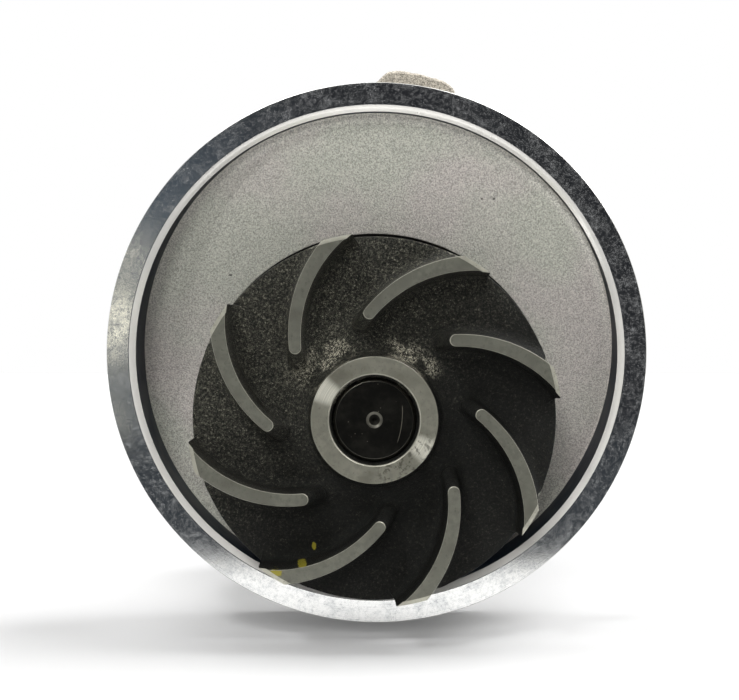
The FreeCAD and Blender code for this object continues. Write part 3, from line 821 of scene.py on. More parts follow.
@dataclass
class Housing:
    """The cast body: machined collar, ramped floor, impeller pocket, neck, ribs and lug."""

    shaft: Axis
    collar: float = 55.0
    collar_back: float = 24.0
    flange: float = 58.18
    flange_back: float = 30.0
    face_inner: float = 50.5
    lip_middle: float = 49.85
    lip_middle_depth: float = 0.39
    wall: float = 49.2
    lip_depth: float = 0.9
    groove_floor: float = 51.6
    groove_front: float = 13.6
    groove_back: float = 18.4
    plateau: float = 3.2
    floor: float = 12.8
    ramp_top: float = 36.0
    ramp_bottom: float = -14.0
    ramp_turn: float = math.radians(13.5)
    floor_fillet: float = 0.45
    pocket: float = 37.5
    pocket_edge: float = 0.35
    pocket_depth: float = 15.0
    plate_back: float = 20.0
    cup_bore: float = 18.25
    neck: float = 20.0
    neck_root: float = 23.0
    neck_root_back: float = 34.0
    neck_back: float = 76.5
    bearing_bore: float = 15.0
    bearing_front: float = 31.0
    chamber_front: float = 25.5
    weep: float = 2.5
    weep_depth: float = 28.0
    rib_count: int = 6
    rib_thickness: float = 4.0
    rib_reach: float = 17.5
    rib_toe: float = 5.0
    rib_height: float = 29.0
    cast_sink: float = 1.2
    lug_turn: float = math.radians(8.0)
    lug_top: float = 62.65
    lug_back: float = 36.0
    web_half: float = 4.0
    web_low: float = 4.5
    cast_body: CastAluminium = CastAluminium("cast_body", (0.36, 0.355, 0.335),
                                             (0.42, 0.41, 0.39))

    def build(self) -> None:
        """Make every piece of the housing."""
        self.make_collar()
        self.make_floor()
        self.make_neck()
        self.make_ribs()
        self.make_lug()

    def make_collar(self) -> None:
        """The turned collar ring with its lip, seal groove and stop flange."""
        face = TurnedAluminium("turned_collar_face", (0, 0), (0.90, 0.90, 0.88), (0.52, 0.54, 0.56),
                               0.085, 0.65, 0.006, 0.17)
        lip = TurnedAluminium("turned_lip", (0, 0), (0.97, 0.95, 0.90), (0.88, 0.86, 0.80), 0.15,
                              0.3, 0.001, 0.0, 0.5)
        # The bore wall's near-black colour is painted shade and painted reflection, not the metal's
        # own colour.
        wall = PaintedDarkBoreWall("bore_wall_painted_dark")
        outside = TurnedAluminium("turned_outside", (0, 0), (0.62, 0.62, 0.61), (0.44, 0.43, 0.41),
                                  0.26, 0.5)
        piece = Workpiece("collar").turn((0, 0), [
            (self.wall, self.flange_back, 0.3),
            (self.wall, self.floor + 3.0, 0.0),
            (self.wall, self.lip_depth, 0.0),
            (self.lip_middle, self.lip_middle_depth, 0.15),
            (self.face_inner, 0.0, 0.10),
            (self.collar - 0.1, 0.0, 0.03),
            (self.collar, 0.1, 0.03),
            (self.collar, self.groove_front, 0.2),
            (self.groove_floor, self.groove_front, 0.3),
            (self.groove_floor, self.groove_back, 0.3),
            (self.collar, self.groove_back, 0.2),
            (self.collar, self.collar_back, 0.2),
            (self.flange, self.collar_back, 0.6),
            (self.flange, self.flange_back, 0.6),
        ], steps=360)
        piece.zone(self.collar_zone).finish([face, lip, wall, outside], Body.HOUSING, "housing")

    def collar_zone(self, middle: Vector, normal: Vector) -> int:
        """The collar's finish at a face: 0 face, 1 lip, 2 bore wall, 3 outside.

        Args:
            middle: The face's middle.
            normal: The face's normal.

        Returns:
            The finish's number.
        """
        radius = math.hypot(middle.x, middle.z)
        if middle.y < 0.02 and normal.y < -0.9:
            return 0
        if middle.y < self.lip_depth and radius < self.face_inner + 0.02:
            return 1
        return 2 if radius < self.wall + 0.3 and middle.y < self.floor + 3.0 else 3

    def depth_at(self, x: float, z: float) -> float:
        """The cast floor's depth behind the collar's face.

        Args:
            x: The place across.
            z: The place up.

        Returns:
            The depth, which is the plateau's at the top and the deep floor's at the bottom.
        """
        along = x * math.sin(self.ramp_turn) + z * math.cos(self.ramp_turn)
        share = min(1.0, max(0.0, (self.ramp_top - along) / (self.ramp_top - self.ramp_bottom)))
        share = 0.25 * share * share * (3.0 - 2.0 * share) + 0.75 * share
        return self.plateau + (self.floor - self.plateau) * share

    def at_wall(self, turn: float, radius: float) -> Vector:
        """A place round the collar's axis, at no depth."""
        angle = turn * FULL_TURN
        return Vector((radius * math.cos(angle), 0.0, radius * math.sin(angle)))

    def at_pocket(self, turn: float, radius: float) -> Vector:
        """A place round the shaft at no depth, kept inside the collar's wall.

        Args:
            turn: How far round, from 0 to 1.
            radius: The distance from the shaft.

        Returns:
            The place.
        """
        angle = turn * FULL_TURN
        x = self.shaft[0] + radius * math.cos(angle)
        z = self.shaft[1] + radius * math.sin(angle)
        shrink = min(1.0, (self.wall - self.floor_fillet - 0.4) / math.hypot(x, z))
        return Vector((x * shrink, 0.0, z * shrink))

    def on_floor(self, place: Vector, sink: float) -> Vector:
        """The place put that far below the cast floor."""
        return Vector((place.x, self.depth_at(place.x, place.z) + sink, place.z))

    def fillet_ring(self, angle: float) -> Ring:
        """A ring of the fillet from the bore wall to the floor.

        Args:
            angle: How far round the fillet, from the wall.

        Returns:
            The ring.
        """
        radius = self.wall - self.floor_fillet * (1.0 - math.cos(angle))
        sink = self.floor_fillet * (math.sin(angle) - 1.0)
        return lambda turn: self.on_floor(self.at_wall(turn, radius), sink)

    def floor_ring(self, share: float) -> Ring:
        """A ring of the floor, a share of the way from the wall to the pocket."""
        outer, inner = self.wall - self.floor_fillet, self.pocket + self.pocket_edge
        return lambda turn: self.on_floor(
            self.at_wall(turn, outer).lerp(self.at_pocket(turn, inner), share), 0.0)

    def edge_ring(self, angle: float) -> Ring:
        """A ring of the rounded edge where the floor drops into the pocket.

        Args:
            angle: How far round the edge, from the floor.

        Returns:
            The ring.
        """
        radius = self.pocket + self.pocket_edge * (1.0 - math.sin(angle))
        sink = self.pocket_edge * (1.0 - math.cos(angle))
        return lambda turn: self.on_floor(self.at_pocket(turn, radius), sink)

    def level_ring(self, place: Callable[[float, float], Vector], radius: float,
                   depth: float) -> Ring:
        """A ring at one depth, round the collar's axis or round the shaft."""
        return lambda turn: place(turn, radius) + Vector((0.0, depth, 0.0))

    def make_floor(self) -> None:
        """The cast floor that ramps from a plateau, and the pocket behind the impeller."""
        quarter = math.pi / 2
        rings = [self.level_ring(self.at_wall, self.wall + 0.2, depth)
                 for depth in (self.plate_back, self.floor)]
        rings += [self.fillet_ring(quarter * step / 6) for step in range(7)]
        rings += [self.floor_ring(step / 12) for step in range(1, 13)]
        rings += [self.edge_ring(quarter * step / 4) for step in range(1, 5)]
        rings += [self.level_ring(self.at_pocket, radius, depth) for radius, depth in (
            (self.pocket, self.pocket_depth - 1.0), (self.pocket - 0.3, self.pocket_depth - 0.3),
            (self.pocket - 1.0, self.pocket_depth), (self.cup_bore, self.pocket_depth),
            (self.cup_bore, self.plate_back))]
        # Painted shade: these pits are dark spots painted on the floor, not holes.
        pits = (Spot(21.7, 31.6, 0.24, 0.24), Spot(24.2, 31.6, 0.26, 0.26),
                Spot(-30.6, 16.2, 0.4, 0.2))
        # rim=self.wall paints a highlight on the floor's upper edge by the wall.
        cast = CastAluminium("blasted_floor", rim=self.wall, pits=pits)
        # Painted shade: the pocket's faces behind the impeller are near black to stand in for the
        # shade of the narrow gap.
        shade = CastAluminium("pocket_painted_shade", (0.012, 0.012, 0.011), (0.02, 0.02, 0.018))
        Workpiece("recess_floor").loft(360, rings).zone(self.floor_zone).finish(
            [cast, shade], Body.HOUSING, "housing")

    def floor_zone(self, middle: Vector, normal: Vector) -> int:
        """The floor's finish at a face: 0 blasted, 1 painted shade in the pocket.

        Args:
            middle: The face's middle.
            normal: The face's normal.

        Returns:
            The finish's number.
        """
        below = middle.y > self.depth_at(middle.x, middle.z) + 0.12
        inside = reach_from(self.shaft, middle) < self.pocket + 0.3
        return 1 if below and inside and normal.y < 0.5 else 0

    def make_neck(self) -> None:
        """The bearing neck, cast outside and bored inside."""
        bored = TurnedAluminium("bored_neck", self.shaft, (0.70, 0.70, 0.69), (0.5, 0.49, 0.47),
                                0.25)
        step = self.neck_root - self.neck
        piece = Workpiece("bearing_neck").turn(self.shaft, [
            (self.cup_bore, self.pocket_depth + 0.4, 0.0),
            (self.neck_root, self.pocket_depth + 0.4, 0.0),
            (self.neck_root, self.neck_root_back, 1.6),
            (self.neck, self.neck_root_back + step, 1.6),
            (self.neck, self.neck_back, 0.8),
            (self.bearing_bore, self.neck_back, 0.5),
            (self.bearing_bore, self.bearing_front, 0.0),
            (self.bearing_bore - 1.0, self.bearing_front, 0.0),
            (self.bearing_bore - 1.0, self.chamber_front, 0.0),
            (self.cup_bore, self.chamber_front, 0.0),
        ])
        neck = piece.zone(self.neck_zone).finish([self.cast_body, bored], Body.HOUSING, "housing")
        cutter = Workpiece("weep_cutter")
        bmesh.ops.create_cone(cutter.bm, cap_ends=True, segments=40, radius1=self.weep,
                              radius2=self.weep, depth=14.0)
        bmesh.ops.translate(cutter.bm, verts=cutter.bm.verts[:],
                            vec=(self.shaft[0], self.weep_depth, self.shaft[1] - self.neck))
        drill(neck, [cutter.release([bored])])

    def neck_zone(self, middle: Vector, normal: Vector) -> int:
        """The neck's finish at a face: 0 cast, 1 bored."""
        return 1 if reach_from(self.shaft, middle) < self.neck - 0.6 or normal.y > 0.8 else 0

    def make_ribs(self) -> None:
        """Thin cast ribs from the neck to the plate."""
        inner, outer = self.neck - 2.5, self.neck + self.rib_reach
        base, top = self.plate_back - self.cast_sink, self.plate_back + self.rib_height
        outline = [(inner, base), (outer, base), (outer, base + self.rib_toe),
                   (self.neck - 0.4, top), (inner, top)]
        for index in range(self.rib_count):
            Workpiece(f"rib_{index + 1}").slab(
                [Vector((radius, along, -self.rib_thickness / 2)) for radius, along in outline],
                Vector((0, 0, self.rib_thickness)), 0.9,
            ).swing(Matrix.Rotation(index * FULL_TURN / self.rib_count, 3, "Y"),
                    Vector((self.shaft[0], 0, self.shaft[1]))
                    ).finish([self.cast_body], Body.HOUSING, "housing")

    def make_lug(self) -> None:
        """The rough adjusting lug behind the collar, and its web to the neck."""
        rough = CastAluminium("rough_lug", (0.34, 0.31, 0.255), (0.40, 0.365, 0.31), 0.45, 1.75,
                              0.3)
        turned = Matrix.Rotation(self.lug_turn, 3, "Y")
        front, back = self.collar_back + 0.1, self.lug_back - 0.1
        outline = [(-9.6, self.wall + 1.0), (9.6, self.wall + 1.0), (9.8, self.lug_top - 4.0),
                   (8.9, self.lug_top - 2.2), (6.6, self.lug_top - 0.9), (1.0, self.lug_top - 0.15),
                   (-3.6, self.lug_top), (-6.2, self.lug_top - 0.7), (-8.6, self.lug_top - 3.6)]
        lug = Workpiece("adjusting_lug").slab(
            [Vector((x, front, z)) for x, z in outline], Vector((0, back - front, 0)), 0.7)
        long_edges = [e for e in lug.bm.edges if e.calc_length() > 1.5]
        bmesh.ops.subdivide_edges(lug.bm, edges=long_edges, cuts=7, use_grid_fill=True)
        for vert in lug.bm.verts:
            wobble = noise.noise(vert.co * 0.45) * 0.30 + noise.noise(vert.co * 1.3) * 0.12
            inwards = Vector((vert.co.x, 0.0, vert.co.z - (self.lug_top - 7.0)))
            vert.co -= inwards.normalized() * abs(wobble)
        lug.swing(turned).finish([rough], Body.HOUSING, "housing", sharp=60.0)
        base, high = self.plate_back - self.cast_sink, self.wall + 0.8
        outline = [(base, self.web_low), (base, high), (self.lug_back - 0.6, high),
                   (self.plate_back + 28.0, self.web_low)]
        Workpiece("lug_web").slab(
            [Vector((-self.web_half, along, up)) for along, up in outline],
            Vector((2 * self.web_half, 0, 0)), 1.2,
        ).swing(turned).finish([self.cast_body], Body.HOUSING, "housing")


# --- impeller --------------------------------------------------------------------------------

SIDE_SHARE = 0.42
ROOT_SHARE = 0.11
TIP_START = 0.95


@dataclass
class Impeller:
    """The cast-iron impeller: disc, hub and curved vanes with faced tops."""

    span: Span
    disc_front: float = -7.9
    disc_back: float = -4.4
    vane_front: float = -16.5
    hub_front: float = -15.9
    hub: float = 12.3
    bore: float = 7.97
    gap: float = 0.74
    edge: float = 0.26
    back_boss: float = 12.0
    vane_count: int = 8
    root_thickness: float = 2.3
    tip_thickness: float = 2.95
    vane_curve: float = 26.4
    vane_centre: float = 19.75
    vane_centre_angle: float = math.radians(235.9)
    vane_root: float = 20.6
    draft: float = 0.45
    fillet: float = 2.3
    short_vane: int = 2

    def disc_height(self, radius: float) -> float:
        """Where the disc's front lies along Y at a radius, as it rises to the hub."""
        near = min(1.0, max(0.0, (25.0 - radius) / (25.0 - self.hub - 0.6)))
        return self.disc_front - 3.6 * near ** 2.4

    def build(self) -> None:
        """Make the disc and each vane."""
        axis = self.span.axis
        dabs = tuple(Spot(axis[0] + x, axis[1] + z, half_x, half_z) for x, z, half_x, half_z in (
            (-11.9, -25.2, 0.50, 0.95), (-14.0, -27.9, 1.1, 0.40), (-19.1, -29.3, 1.5, 0.8)))
        skin = CastIron("oiled_cast_iron", axis, dabs=dabs)
        faced = FacedIron("faced_iron", axis, dabs=dabs)
        # The last number, 0.9, paints glints onto the hub's face.
        hub_face = FacedIron("faced_hub", axis, (0.225, 0.221, 0.178), (0.115, 0.110, 0.085), 0.24,
                             0.75, 0.03, 0.9)
        edge = FacedIron("cut_edge", axis, (0.42, 0.41, 0.34), (0.20, 0.19, 0.155), 0.28, 0.3)
        self.make_disc(axis, [skin, hub_face, edge])
        for index in range(self.vane_count):
            self.make_vane(index, axis, [skin, faced, edge])

    def make_disc(self, axis: Axis, finishes: Sequence[Any]) -> None:
        """The disc and hub as one turned shape.

        Args:
            axis: The shaft's x and z.
            finishes: The skin, the faced hub and its cut edge.
        """
        rim = self.span.radius
        rise = [(radius, self.disc_height(radius), 0.0)
                for radius in (13.6, 15.0, 17.0, 19.0, 21.5, 24.5)]
        corners = [
            (self.bore, self.hub_front + 2.4, 0.0),
            (self.bore + self.gap, self.hub_front + self.edge, 0.0),
            (self.bore + self.gap + self.edge, self.hub_front, 0.05),
            (self.hub - 0.05, self.hub_front, 0.22),
            (self.hub + 0.35, self.disc_height(12.9) - 1.3, 0.0),
            (self.hub + 0.65, self.disc_height(12.9) - 0.4, 0.0),
            *rise,
            (rim - 0.05, self.disc_front, 0.25),
            (rim, self.disc_back - 0.05, 0.25),
            (self.back_boss, self.disc_back, 0.6),
            (self.back_boss, self.span.back, 0.3),
            (self.bore, self.span.back, 0.2),
        ]
        Workpiece("impeller_disc").turn(axis, corners, steps=256).zone(self.disc_zone).finish(
            finishes, Body.ROTOR, "impeller")

    def disc_zone(self, middle: Vector, _normal: Vector) -> int:
        """The disc's finish at a face: 0 skin, 1 faced hub, 2 the hub's cut edge.

        Args:
            middle: The face's middle.
            _normal: Not needed here.

        Returns:
            The finish's number.
        """
        radius = reach_from(self.span.axis, middle)
        if middle.y > self.hub_front + self.edge or radius < self.bore + self.gap:
            return 0
        return 1 if radius > self.bore + self.gap + self.edge else 2

    def make_vane(self, index: int, axis: Axis, finishes: Sequence[Any]) -> None:
        """One vane: a fillet at the disc, drafted sides, a crisp faced top and a cut tip.

        Args:
            index: Which vane it is, counted round the shaft.
            axis: The shaft's x and z.
            finishes: The skin, the faced top and its cut edge.
        """
        rim = self.span.radius - 0.02
        root = self.vane_root + (1.3 if index == self.short_vane else 0.0)
        drop = self.disc_front - self.vane_front
        levels = [VaneLevel(self.fillet + self.draft, 0.9, 0.0, 4.2)]
        for step in range(7):
            low, high = 1 - math.sin(math.pi * step / 12), 1 - math.cos(math.pi * step / 12)
            levels.append(VaneLevel(self.draft + self.fillet * low, -self.fillet * high, 0.0,
                                    2.0 + 2.2 * low))
        levels += [VaneLevel(self.draft * 0.55, 3.0 - drop, 0.0, 0.9),
                   VaneLevel(self.draft * 0.25, 1.0 - drop, 0.0, 0.25),
                   VaneLevel(0.03, 0.16 - drop, 0.10, 0.05),
                   VaneLevel(-0.06, -drop, 0.85, 0.0)]
        spin = index * FULL_TURN / self.vane_count
        rings = [self.vane_ring(level, root, rim, spin, axis) for level in levels]
        Workpiece(f"vane_{index + 1}").loft(96, rings, closed=False).zone(self.vane_zone).finish(
            finishes, Body.ROTOR, "impeller", sharp=32.0)

    def vane_zone(self, middle: Vector, normal: Vector) -> int:
        """A vane's finish at a face: 0 skin, 1 faced top or cut tip, 2 the top's edge.

        Args:
            middle: The face's middle.
            normal: The face's normal.

        Returns:
            The finish's number.
        """
        if middle.y < self.vane_front + 0.01 and normal.y < -0.9:
            return 1
        if middle.y < self.vane_front + 0.5:
            return 2
        axis = self.span.axis
        outwards = Vector((middle.x - axis[0], 0, middle.z - axis[1])).normalized()
        tip = reach_from(axis, middle) > self.span.radius - 0.42
        return 1 if tip and normal.dot(outwards) > 0.7 else 0

    def vane_ring(self, level: "VaneLevel", root: float, rim: float, spin: float,
                  axis: Axis) -> Ring:
        """A vane's outline at one height.

        Args:
            level: The height and how far the outline is spread there.
            root: The centreline's distance from the shaft at the top's inner end.
            rim: The radius that the outer end is cut to.
            spin: How far the vane is turned about the shaft.
            axis: The shaft's x and z.

        Returns:
            The place for each turn from 0 to 1 round the outline.
        """
        centre = Vector((self.vane_centre * math.cos(self.vane_centre_angle),
                         self.vane_centre * math.sin(self.vane_centre_angle)))
        edge = rim - level.cut

        def bearing(reach: float) -> float:
            """The angle on the vane's curve that lies so far from the shaft."""
            cosine = ((centre.length_squared + self.vane_curve ** 2 - reach ** 2)
                      / (2 * centre.length * self.vane_curve))
            return self.vane_centre_angle - math.pi - math.acos(max(-1.0, min(1.0, cosine)))

        start, stop = bearing(root - level.lead), bearing(edge + 1.6)

        def side(share: float, way: float) -> Vector:
            """A place on one side, from the tip at share 0 to the root at share 1."""
            thick = self.root_thickness + (self.tip_thickness - self.root_thickness) * (1.0 - share)
            angle = stop + (start - stop) * share
            return centre + Vector((math.cos(angle), math.sin(angle))) * (
                self.vane_curve + way * (thick / 2 + level.spread))

        def ring(turn: float) -> Vector:
            """The outline: one side, the round root end, the other side, the cut tip."""
            if turn < SIDE_SHARE:
                flat = side(turn / SIDE_SHARE, 1.0)
            elif turn < SIDE_SHARE + ROOT_SHARE:
                swing = (turn - SIDE_SHARE) / ROOT_SHARE * math.pi
                tip = (side(1.0, 1.0) + side(1.0, -1.0)) / 2
                away = side(1.0, 1.0) - tip
                ahead = Vector((-away.y, away.x))
                flat = tip + away * math.cos(swing) + ahead * math.sin(swing)
            elif turn < TIP_START:
                flat = side(1.0 - (turn - SIDE_SHARE - ROOT_SHARE) / SIDE_SHARE, -1.0)
            else:
                flat = side(0.0, -1.0).lerp(side(0.0, 1.0), (turn - TIP_START) / (1 - TIP_START))
            if flat.length > edge:
                flat *= edge / flat.length
            base = self.disc_height(flat.length) if level.lift > -2.5 else self.disc_front
            flat.rotate(Matrix.Rotation(spin, 2))
            return Vector((axis[0] + flat.x, base + level.lift, axis[1] + flat.y))
        return ring


@dataclass(frozen=True)
class VaneLevel:
    """One height of a vane's skin."""

    spread: float
    lift: float
    cut: float
    lead: float


# --- shaft, drive hub and the small turned pieces ---------------------------------------------


@dataclass
class ShaftAndHub:
    """The shaft with its two visible ends, and the drive hub pressed on the back."""

    shaft: Span
    hub: Span
    chamfer: float = 0.5
    mark: float = 1.5
    mark_depth: float = 1.3
    boss: float = 13.0
    flange_thickness: float = 7.0
    nose: float = 11.0
    nose_height: float = 2.5
    bolt_circle: float = 22.0
    hole: float = 3.4
    hole_count: int = 4
    pitch: float = 1.25
    thread: float = 0.55
    ridges: int = 5

    def build(self) -> None:
        """Make the shaft and the drive hub."""
        self.make_shaft()
        self.make_hub()

    def make_shaft(self) -> None:
        """The ground shaft, blackened at the impeller end."""
        axis, radius = self.shaft.axis, self.shaft.radius
        front, back = self.shaft.front, self.shaft.back
        black = GroundSteel("blackened_shaft_end", axis, (0.014, 0.0138, 0.012),
                            (0.045, 0.043, 0.034), 0.34, 0.9, scratch=True)
        rim = GroundSteel("worn_shaft_rim", axis, (0.16, 0.155, 0.13), (0.05, 0.045, 0.04), 0.3)
        bright = GroundSteel("ground_shaft", axis)
        Workpiece("shaft_turned").turn(axis, [
            (0.02, front + self.mark_depth, 0.0),
            (self.mark - 0.45, front + 0.35, 0.0),
            (self.mark, front + 0.02, 0.0),
            (self.mark + 0.12, front, 0.0),
            (radius - self.chamfer, front, 0.08),
            (radius, front + self.chamfer, 0.08),
            (radius, back - self.chamfer, 0.1),
            (radius - self.chamfer, back, 0.1),
            (self.mark, back, 0.05),
            (0.02, back - self.mark_depth, 0.0),
        ], steps=160).zone(self.shaft_zone).finish([black, rim, bright], Body.ROTOR, "shaft")

    def shaft_zone(self, middle: Vector, _normal: Vector) -> int:
        """The shaft's finish at a face: 0 blackened, 1 worn rims, 2 ground.

        Args:
            middle: The face's middle.
            _normal: Not needed here.

        Returns:
            The finish's number.
        """
        if middle.y > self.shaft.front + 2.0:
            return 2
        reach = reach_from(self.shaft.axis, middle)
        ring = self.mark - 0.5 < reach < self.mark + 0.13
        return 1 if ring or reach > self.shaft.radius - self.chamfer - 0.05 else 0

    def make_hub(self) -> None:
        """The drive hub with its tapped holes."""
        axis = self.hub.axis
        front, back = self.hub.front, self.hub.back
        flange_back = back - self.nose_height
        steel = GroundSteel("turned_hub", axis, (0.42, 0.42, 0.42), (0.24, 0.23, 0.21), 0.30)
        piece = Workpiece("drive_hub_turned").turn(axis, [
            (self.shaft.radius, front, 0.3),
            (self.boss, front, 0.8),
            (self.boss, flange_back - self.flange_thickness, 1.2),
            (self.hub.radius, flange_back - self.flange_thickness, 0.7),
            (self.hub.radius, flange_back, 0.7),
            (self.nose, flange_back, 0.3),
            (self.nose, back, 0.5),
            (self.shaft.radius, back, 0.3),
        ]).finish([steel], Body.ROTOR, "drive_hub")
        drill(piece, [self.thread_cutter(index, axis, flange_back, steel)
                      for index in range(self.hole_count)])

    def thread_cutter(self, index: int, axis: Axis, flange_back: float,
                      finish: Any) -> bpy.types.Object:
        """The shape of one tapped hole: ridges along the wall and a small countersink.

        Args:
            index: Which hole it is, counted round the hub.
            axis: The hub's x and z.
            flange_back: Where the flange's back face lies along Y.
            finish: The finish that the hole's wall takes.

        Returns:
            The cutter.
        """
        angle = index * FULL_TURN / self.hole_count
        place = (axis[0] + self.bolt_circle * math.cos(angle),
                 axis[1] + self.bolt_circle * math.sin(angle))
        start = flange_back - self.flange_thickness
        corners: list[Corner] = [(0.05, start - 1.0, 0.0), (self.hole + 0.5, start - 1.0, 0.0),
                                 (self.hole + 0.5, start, 0.0)]
        for ridge in range(self.ridges):
            corners.append((self.hole, start + 0.5 + ridge * self.pitch, 0.0))
            corners.append((self.hole + self.thread, start + 0.5 + (ridge + 0.5) * self.pitch, 0.0))
        corners += [(self.hole, flange_back - 0.3, 0.0), (self.hole + 0.8, flange_back + 0.5, 0.0),
                    (0.05, flange_back + 0.5, 0.0)]
        return Workpiece(f"tap_{index}").turn(place, corners, steps=40).release([finish])


@dataclass
class SmallParts:
    """The ring seal in the collar's groove, and finishes for the pieces hidden inside."""

    ring: Span
    axis: Axis
    section: float = 2.0
    parting: float = 0.03
    facets: int = 28

    def build(self) -> None:
        """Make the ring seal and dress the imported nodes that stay."""
        self.make_ring_seal()
        self.dress_nodes()

    def make_ring_seal(self) -> None:
        """The rubber ring, with the faint parting line of its mould."""
        middle = (self.ring.front + self.ring.back) / 2
        reach = self.ring.radius - self.section
        corners: list[Corner] = []
        for step in range(self.facets):
            angle = step * FULL_TURN / self.facets
            parting = self.parting if step else 0.0
            corners.append((reach + (self.section - parting) * math.cos(angle),
                            middle + (self.section - 0.02) * math.sin(angle), 0.0))
        rubber = Moulded("ring_rubber", (0.016, 0.016, 0.017), (0.030, 0.030, 0.030), 0.46)
        Workpiece("ring_seal").turn(self.ring.axis, corners, steps=256).finish(
            [rubber], Body.HOUSING, "body_o_ring")

    def dress_nodes(self) -> None:
        """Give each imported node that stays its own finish."""
        rubber = Moulded("seal_rubber", (0.020, 0.020, 0.021), (0.035, 0.034, 0.033), 0.5)
        nylon = Moulded("cage_nylon", (0.62, 0.55, 0.38), (0.70, 0.64, 0.48), 0.42, 0.01)
        carbon = Moulded("lapped_carbon", (0.045, 0.045, 0.047), (0.07, 0.07, 0.072), 0.32, 0.005)
        ceramic = Moulded("lapped_ceramic", (0.80, 0.79, 0.75), (0.86, 0.85, 0.82), 0.25, 0.004)
        brass = GroundSteel("drawn_brass", self.axis, (0.72, 0.50, 0.20), (0.45, 0.30, 0.12), 0.24)
        race = GroundSteel("ground_race", self.axis, (0.56, 0.56, 0.56), (0.40, 0.39, 0.37), 0.16)
        ball = GroundSteel("polished_rollers", self.axis, (0.74, 0.74, 0.75), (0.6, 0.6, 0.6), 0.06)
        wire = GroundSteel("spring_wire", self.axis, (0.58, 0.58, 0.57), (0.38, 0.36, 0.33), 0.22)
        finishes = {
            "bearing_sleeve": race, "ball_row": ball, "roller_row": ball, "ball_cage": nylon,
            "roller_cage": nylon, "front_bearing_seal": rubber, "rear_bearing_seal": rubber,
            "flinger": rubber, "seal_cup": brass, "seal_bellows": rubber, "seal_spring": wire,
            "spring_retainer": wire, "carbon_ring": carbon, "seat_ring": ceramic,
            "seat_grommet": rubber,
        }
        for node, finish in finishes.items():
            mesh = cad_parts[node].data
            mesh.materials.clear()
            mesh.materials.append(WARDROBE.get(finish))


# --- studio ----------------------------------------------------------------------------------


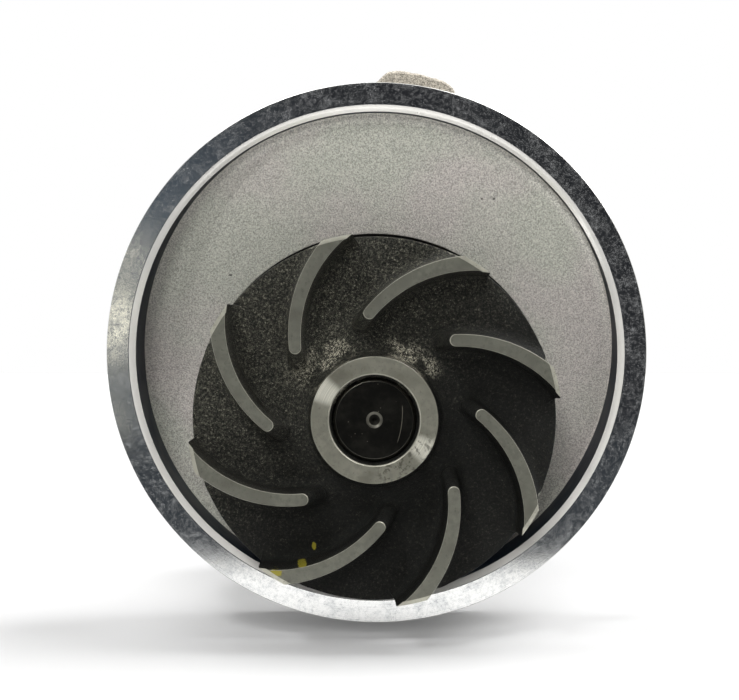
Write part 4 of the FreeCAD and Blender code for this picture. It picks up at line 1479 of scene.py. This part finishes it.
@dataclass
class Studio:
    """A pale floor, soft light, cards that only reflections see, and the camera."""

    floor: float = -58.3
    camera: tuple[float, float, float] = (-1.45, -275.0, 0.47)
    lens: float = 65.8
    room_reach: float = 0.7
    room_top: float = 0.9
    room_sweep: float = 2.6

    def build(self) -> None:
        """Set up everything round the pump."""
        self.make_floor()
        self.make_world()
        self.make_cards()
        self.make_lamps()
        self.make_camera()

    def plane(self, name: str, width: float, depth: float,
              place: tuple[float, float, float]) -> bpy.types.Object:
        """A flat, level stage sheet.

        Args:
            name: The sheet's name.
            width: Its size along X in millimetres.
            depth: Its size along Y in millimetres.
            place: Its middle in millimetres.

        Returns:
            The sheet.
        """
        bm = bmesh.new()
        bmesh.ops.create_grid(bm, x_segments=1, y_segments=1, size=0.5)
        bmesh.ops.scale(bm, vec=(width * MM, depth * MM, 1), verts=bm.verts[:])
        bmesh.ops.translate(bm, verts=bm.verts[:], vec=[value * MM for value in place])
        sheet = settle(bm, name)
        return sheet

    def make_floor(self) -> None:
        """The pale table top."""
        sheet = self.plane("table", 6000, 6000, (0, 0, self.floor))
        g = Graph("table_top")
        tone = g.noise(0.01, 2.0).between(0.3, 0.7)
        g.dress(base_color=g.blend(tone, (0.49, 0.49, 0.49), (0.51, 0.51, 0.51)), roughness=0.8,
                emission_color=(1.0, 1.0, 1.0), emission_strength=0.13)
        sheet.data.materials.append(g.material)

    def make_world(self) -> None:
        """Even pale light from all round."""
        world = bpy.data.worlds.new("pale_room")
        world.use_nodes = True
        background = world.node_tree.nodes["Background"]
        background.inputs["Color"].default_value = (1.0, 1.0, 1.0, 1.0)
        background.inputs["Strength"].default_value = 1.0
        world.cycles_visibility.diffuse = False
        bpy.context.scene.world = world

    def make_cards(self) -> None:
        """The dim room behind a camera, which only reflections see."""
        bm = bmesh.new()
        half = self.room_sweep / 2
        foot, head = (bm.verts.new((-self.room_reach * math.sin(half),
                                    -self.room_reach * math.cos(half), up))
                      for up in (self.floor * MM - 0.01, self.room_top))
        edge = bm.edges.new((foot, head))
        bmesh.ops.spin(bm, geom=[foot, head, edge], cent=(0, 0, 0), axis=(0, 0, 1),
                       angle=self.room_sweep, steps=40, use_merge=False)
        room = settle(bm, "dim_room")
        room.data.materials.append(self.room_glow())
        flat = self.plane("dim_table", 1200, 620, (0, -386, self.floor + 0.3))
        flat.data.materials.append(self.table_shade())
        for card in (room, flat):
            card.visible_camera = False
            card.visible_diffuse = False
            card.visible_shadow = False
            card.visible_transmission = False

    @staticmethod
    def glow(name: str) -> Graph:
        """A graph whose surface only gives off light.

        Args:
            name: The material's name.

        Returns:
            The graph.
        """
        g = Graph(name)
        g.dress(base_color=(0.0, 0.0, 0.0), specular_ior_level=0.0)
        return g

    def table_shade(self) -> bpy.types.Material:
        """The table as the collar mirrors it: white close by, then falling into shade."""
        g = self.glow("table_shade")
        _, along, _ = g.axes()
        cloud = (g.noise(0.028, 4.0, 0.6) - 0.5) * 42.0
        share = (along + cloud).between(-128.0, -82.0)
        colour = g.blend(share ** 1.6, (0.034, 0.040, 0.048), (0.98, 0.98, 0.97))
        return g.dress(emission_color=colour, emission_strength=1.0)

    def room_glow(self) -> bpy.types.Material:
        """The dim room: darkest ahead, above and to the right, lighter far to the sides."""
        g = self.glow("room_glow")
        across, along, up = g.axes()
        azimuth = across.math("ARCTAN2", along * -1.0)
        left = azimuth.between(-0.03, -0.23) * up.between(240.0, 110.0)
        cloud = g.noise(0.03, 4.0, 0.65).between(0.38, 0.62)
        colour = g.blend((left * 0.5) + (left * cloud * 0.5), (0.019, 0.0205, 0.024),
                         (0.085, 0.108, 0.135))
        for x, z, size in ((-184.0, 20.0, 22.0), (-170.0, 66.0, 9.0), (-186.0, -44.0, 12.0)):
            spot = g.radius(x, z).between(size * 1.5, size * 0.4)
            colour = g.blend(spot * cloud, colour, (2.3, 2.2, 1.85))
        wide = azimuth.math("ABSOLUTE")
        colour = g.blend(wide.between(0.34, 0.90), colour, (0.22, 0.22, 0.215))
        colour = g.blend(wide.between(0.86, 1.04), colour, (0.95, 0.93, 0.86))
        return g.dress(emission_color=colour, emission_strength=1.0)

    def make_lamps(self) -> None:
        """A broad front light, a small high one for sparkle, and two that shade the table."""
        broad = self.lamp("front_key", (0.11, 0.90, -0.42), 26.0, 2.0)
        broad.visible_glossy = False
        self.lamp("high_sparkle", (0.34, 0.60, -0.72), 10.0, 1.1)
        self.lamp("right_back", (-0.58, -0.12, -0.80), 46.0, 4.0)
        self.lamp("left_back", (0.34, -0.12, -0.93), 34.0, 1.8)

    def lamp(self, name: str, heading: tuple[float, float, float], softness: float,
             power: float) -> bpy.types.Object:
        """A far lamp.

        Args:
            name: The lamp's name.
            heading: Which way it shines.
            softness: How wide it looks, in degrees.
            power: How strong it is.

        Returns:
            The lamp.
        """
        data = bpy.data.lights.new(name, "SUN")
        data.angle = math.radians(softness)
        data.energy = power
        made = link(name, data)
        made.rotation_euler = Vector(heading).to_track_quat("-Z", "Y").to_euler()
        return made

    def make_camera(self) -> None:
        """The camera, level and square to the collar's face."""
        data = bpy.data.cameras.new("camera")
        data.lens = self.lens
        data.sensor_width = 36.0
        data.clip_start = 0.01
        data.clip_end = 20.0
        made = link("camera", data)
        made.location = Vector(self.camera) * MM
        made.rotation_euler = (math.pi / 2, 0, 0)
        bpy.context.scene.camera = made


def main() -> None:
    """Build the pump's looks and the studio."""
    logging.basicConfig(level=logging.INFO, format="%(name)s: %(message)s")
    bpy.context.scene.view_settings.view_transform = "Standard"
    shaft = Span.of("shaft")
    Housing(shaft.axis).build()
    Impeller(Span.of("impeller")).build()
    ShaftAndHub(shaft, Span.of("drive_hub")).build()
    SmallParts(Span.of("body_o_ring"), shaft.axis).build()
    Studio().build()


if __name__ == "__main__":
    main()
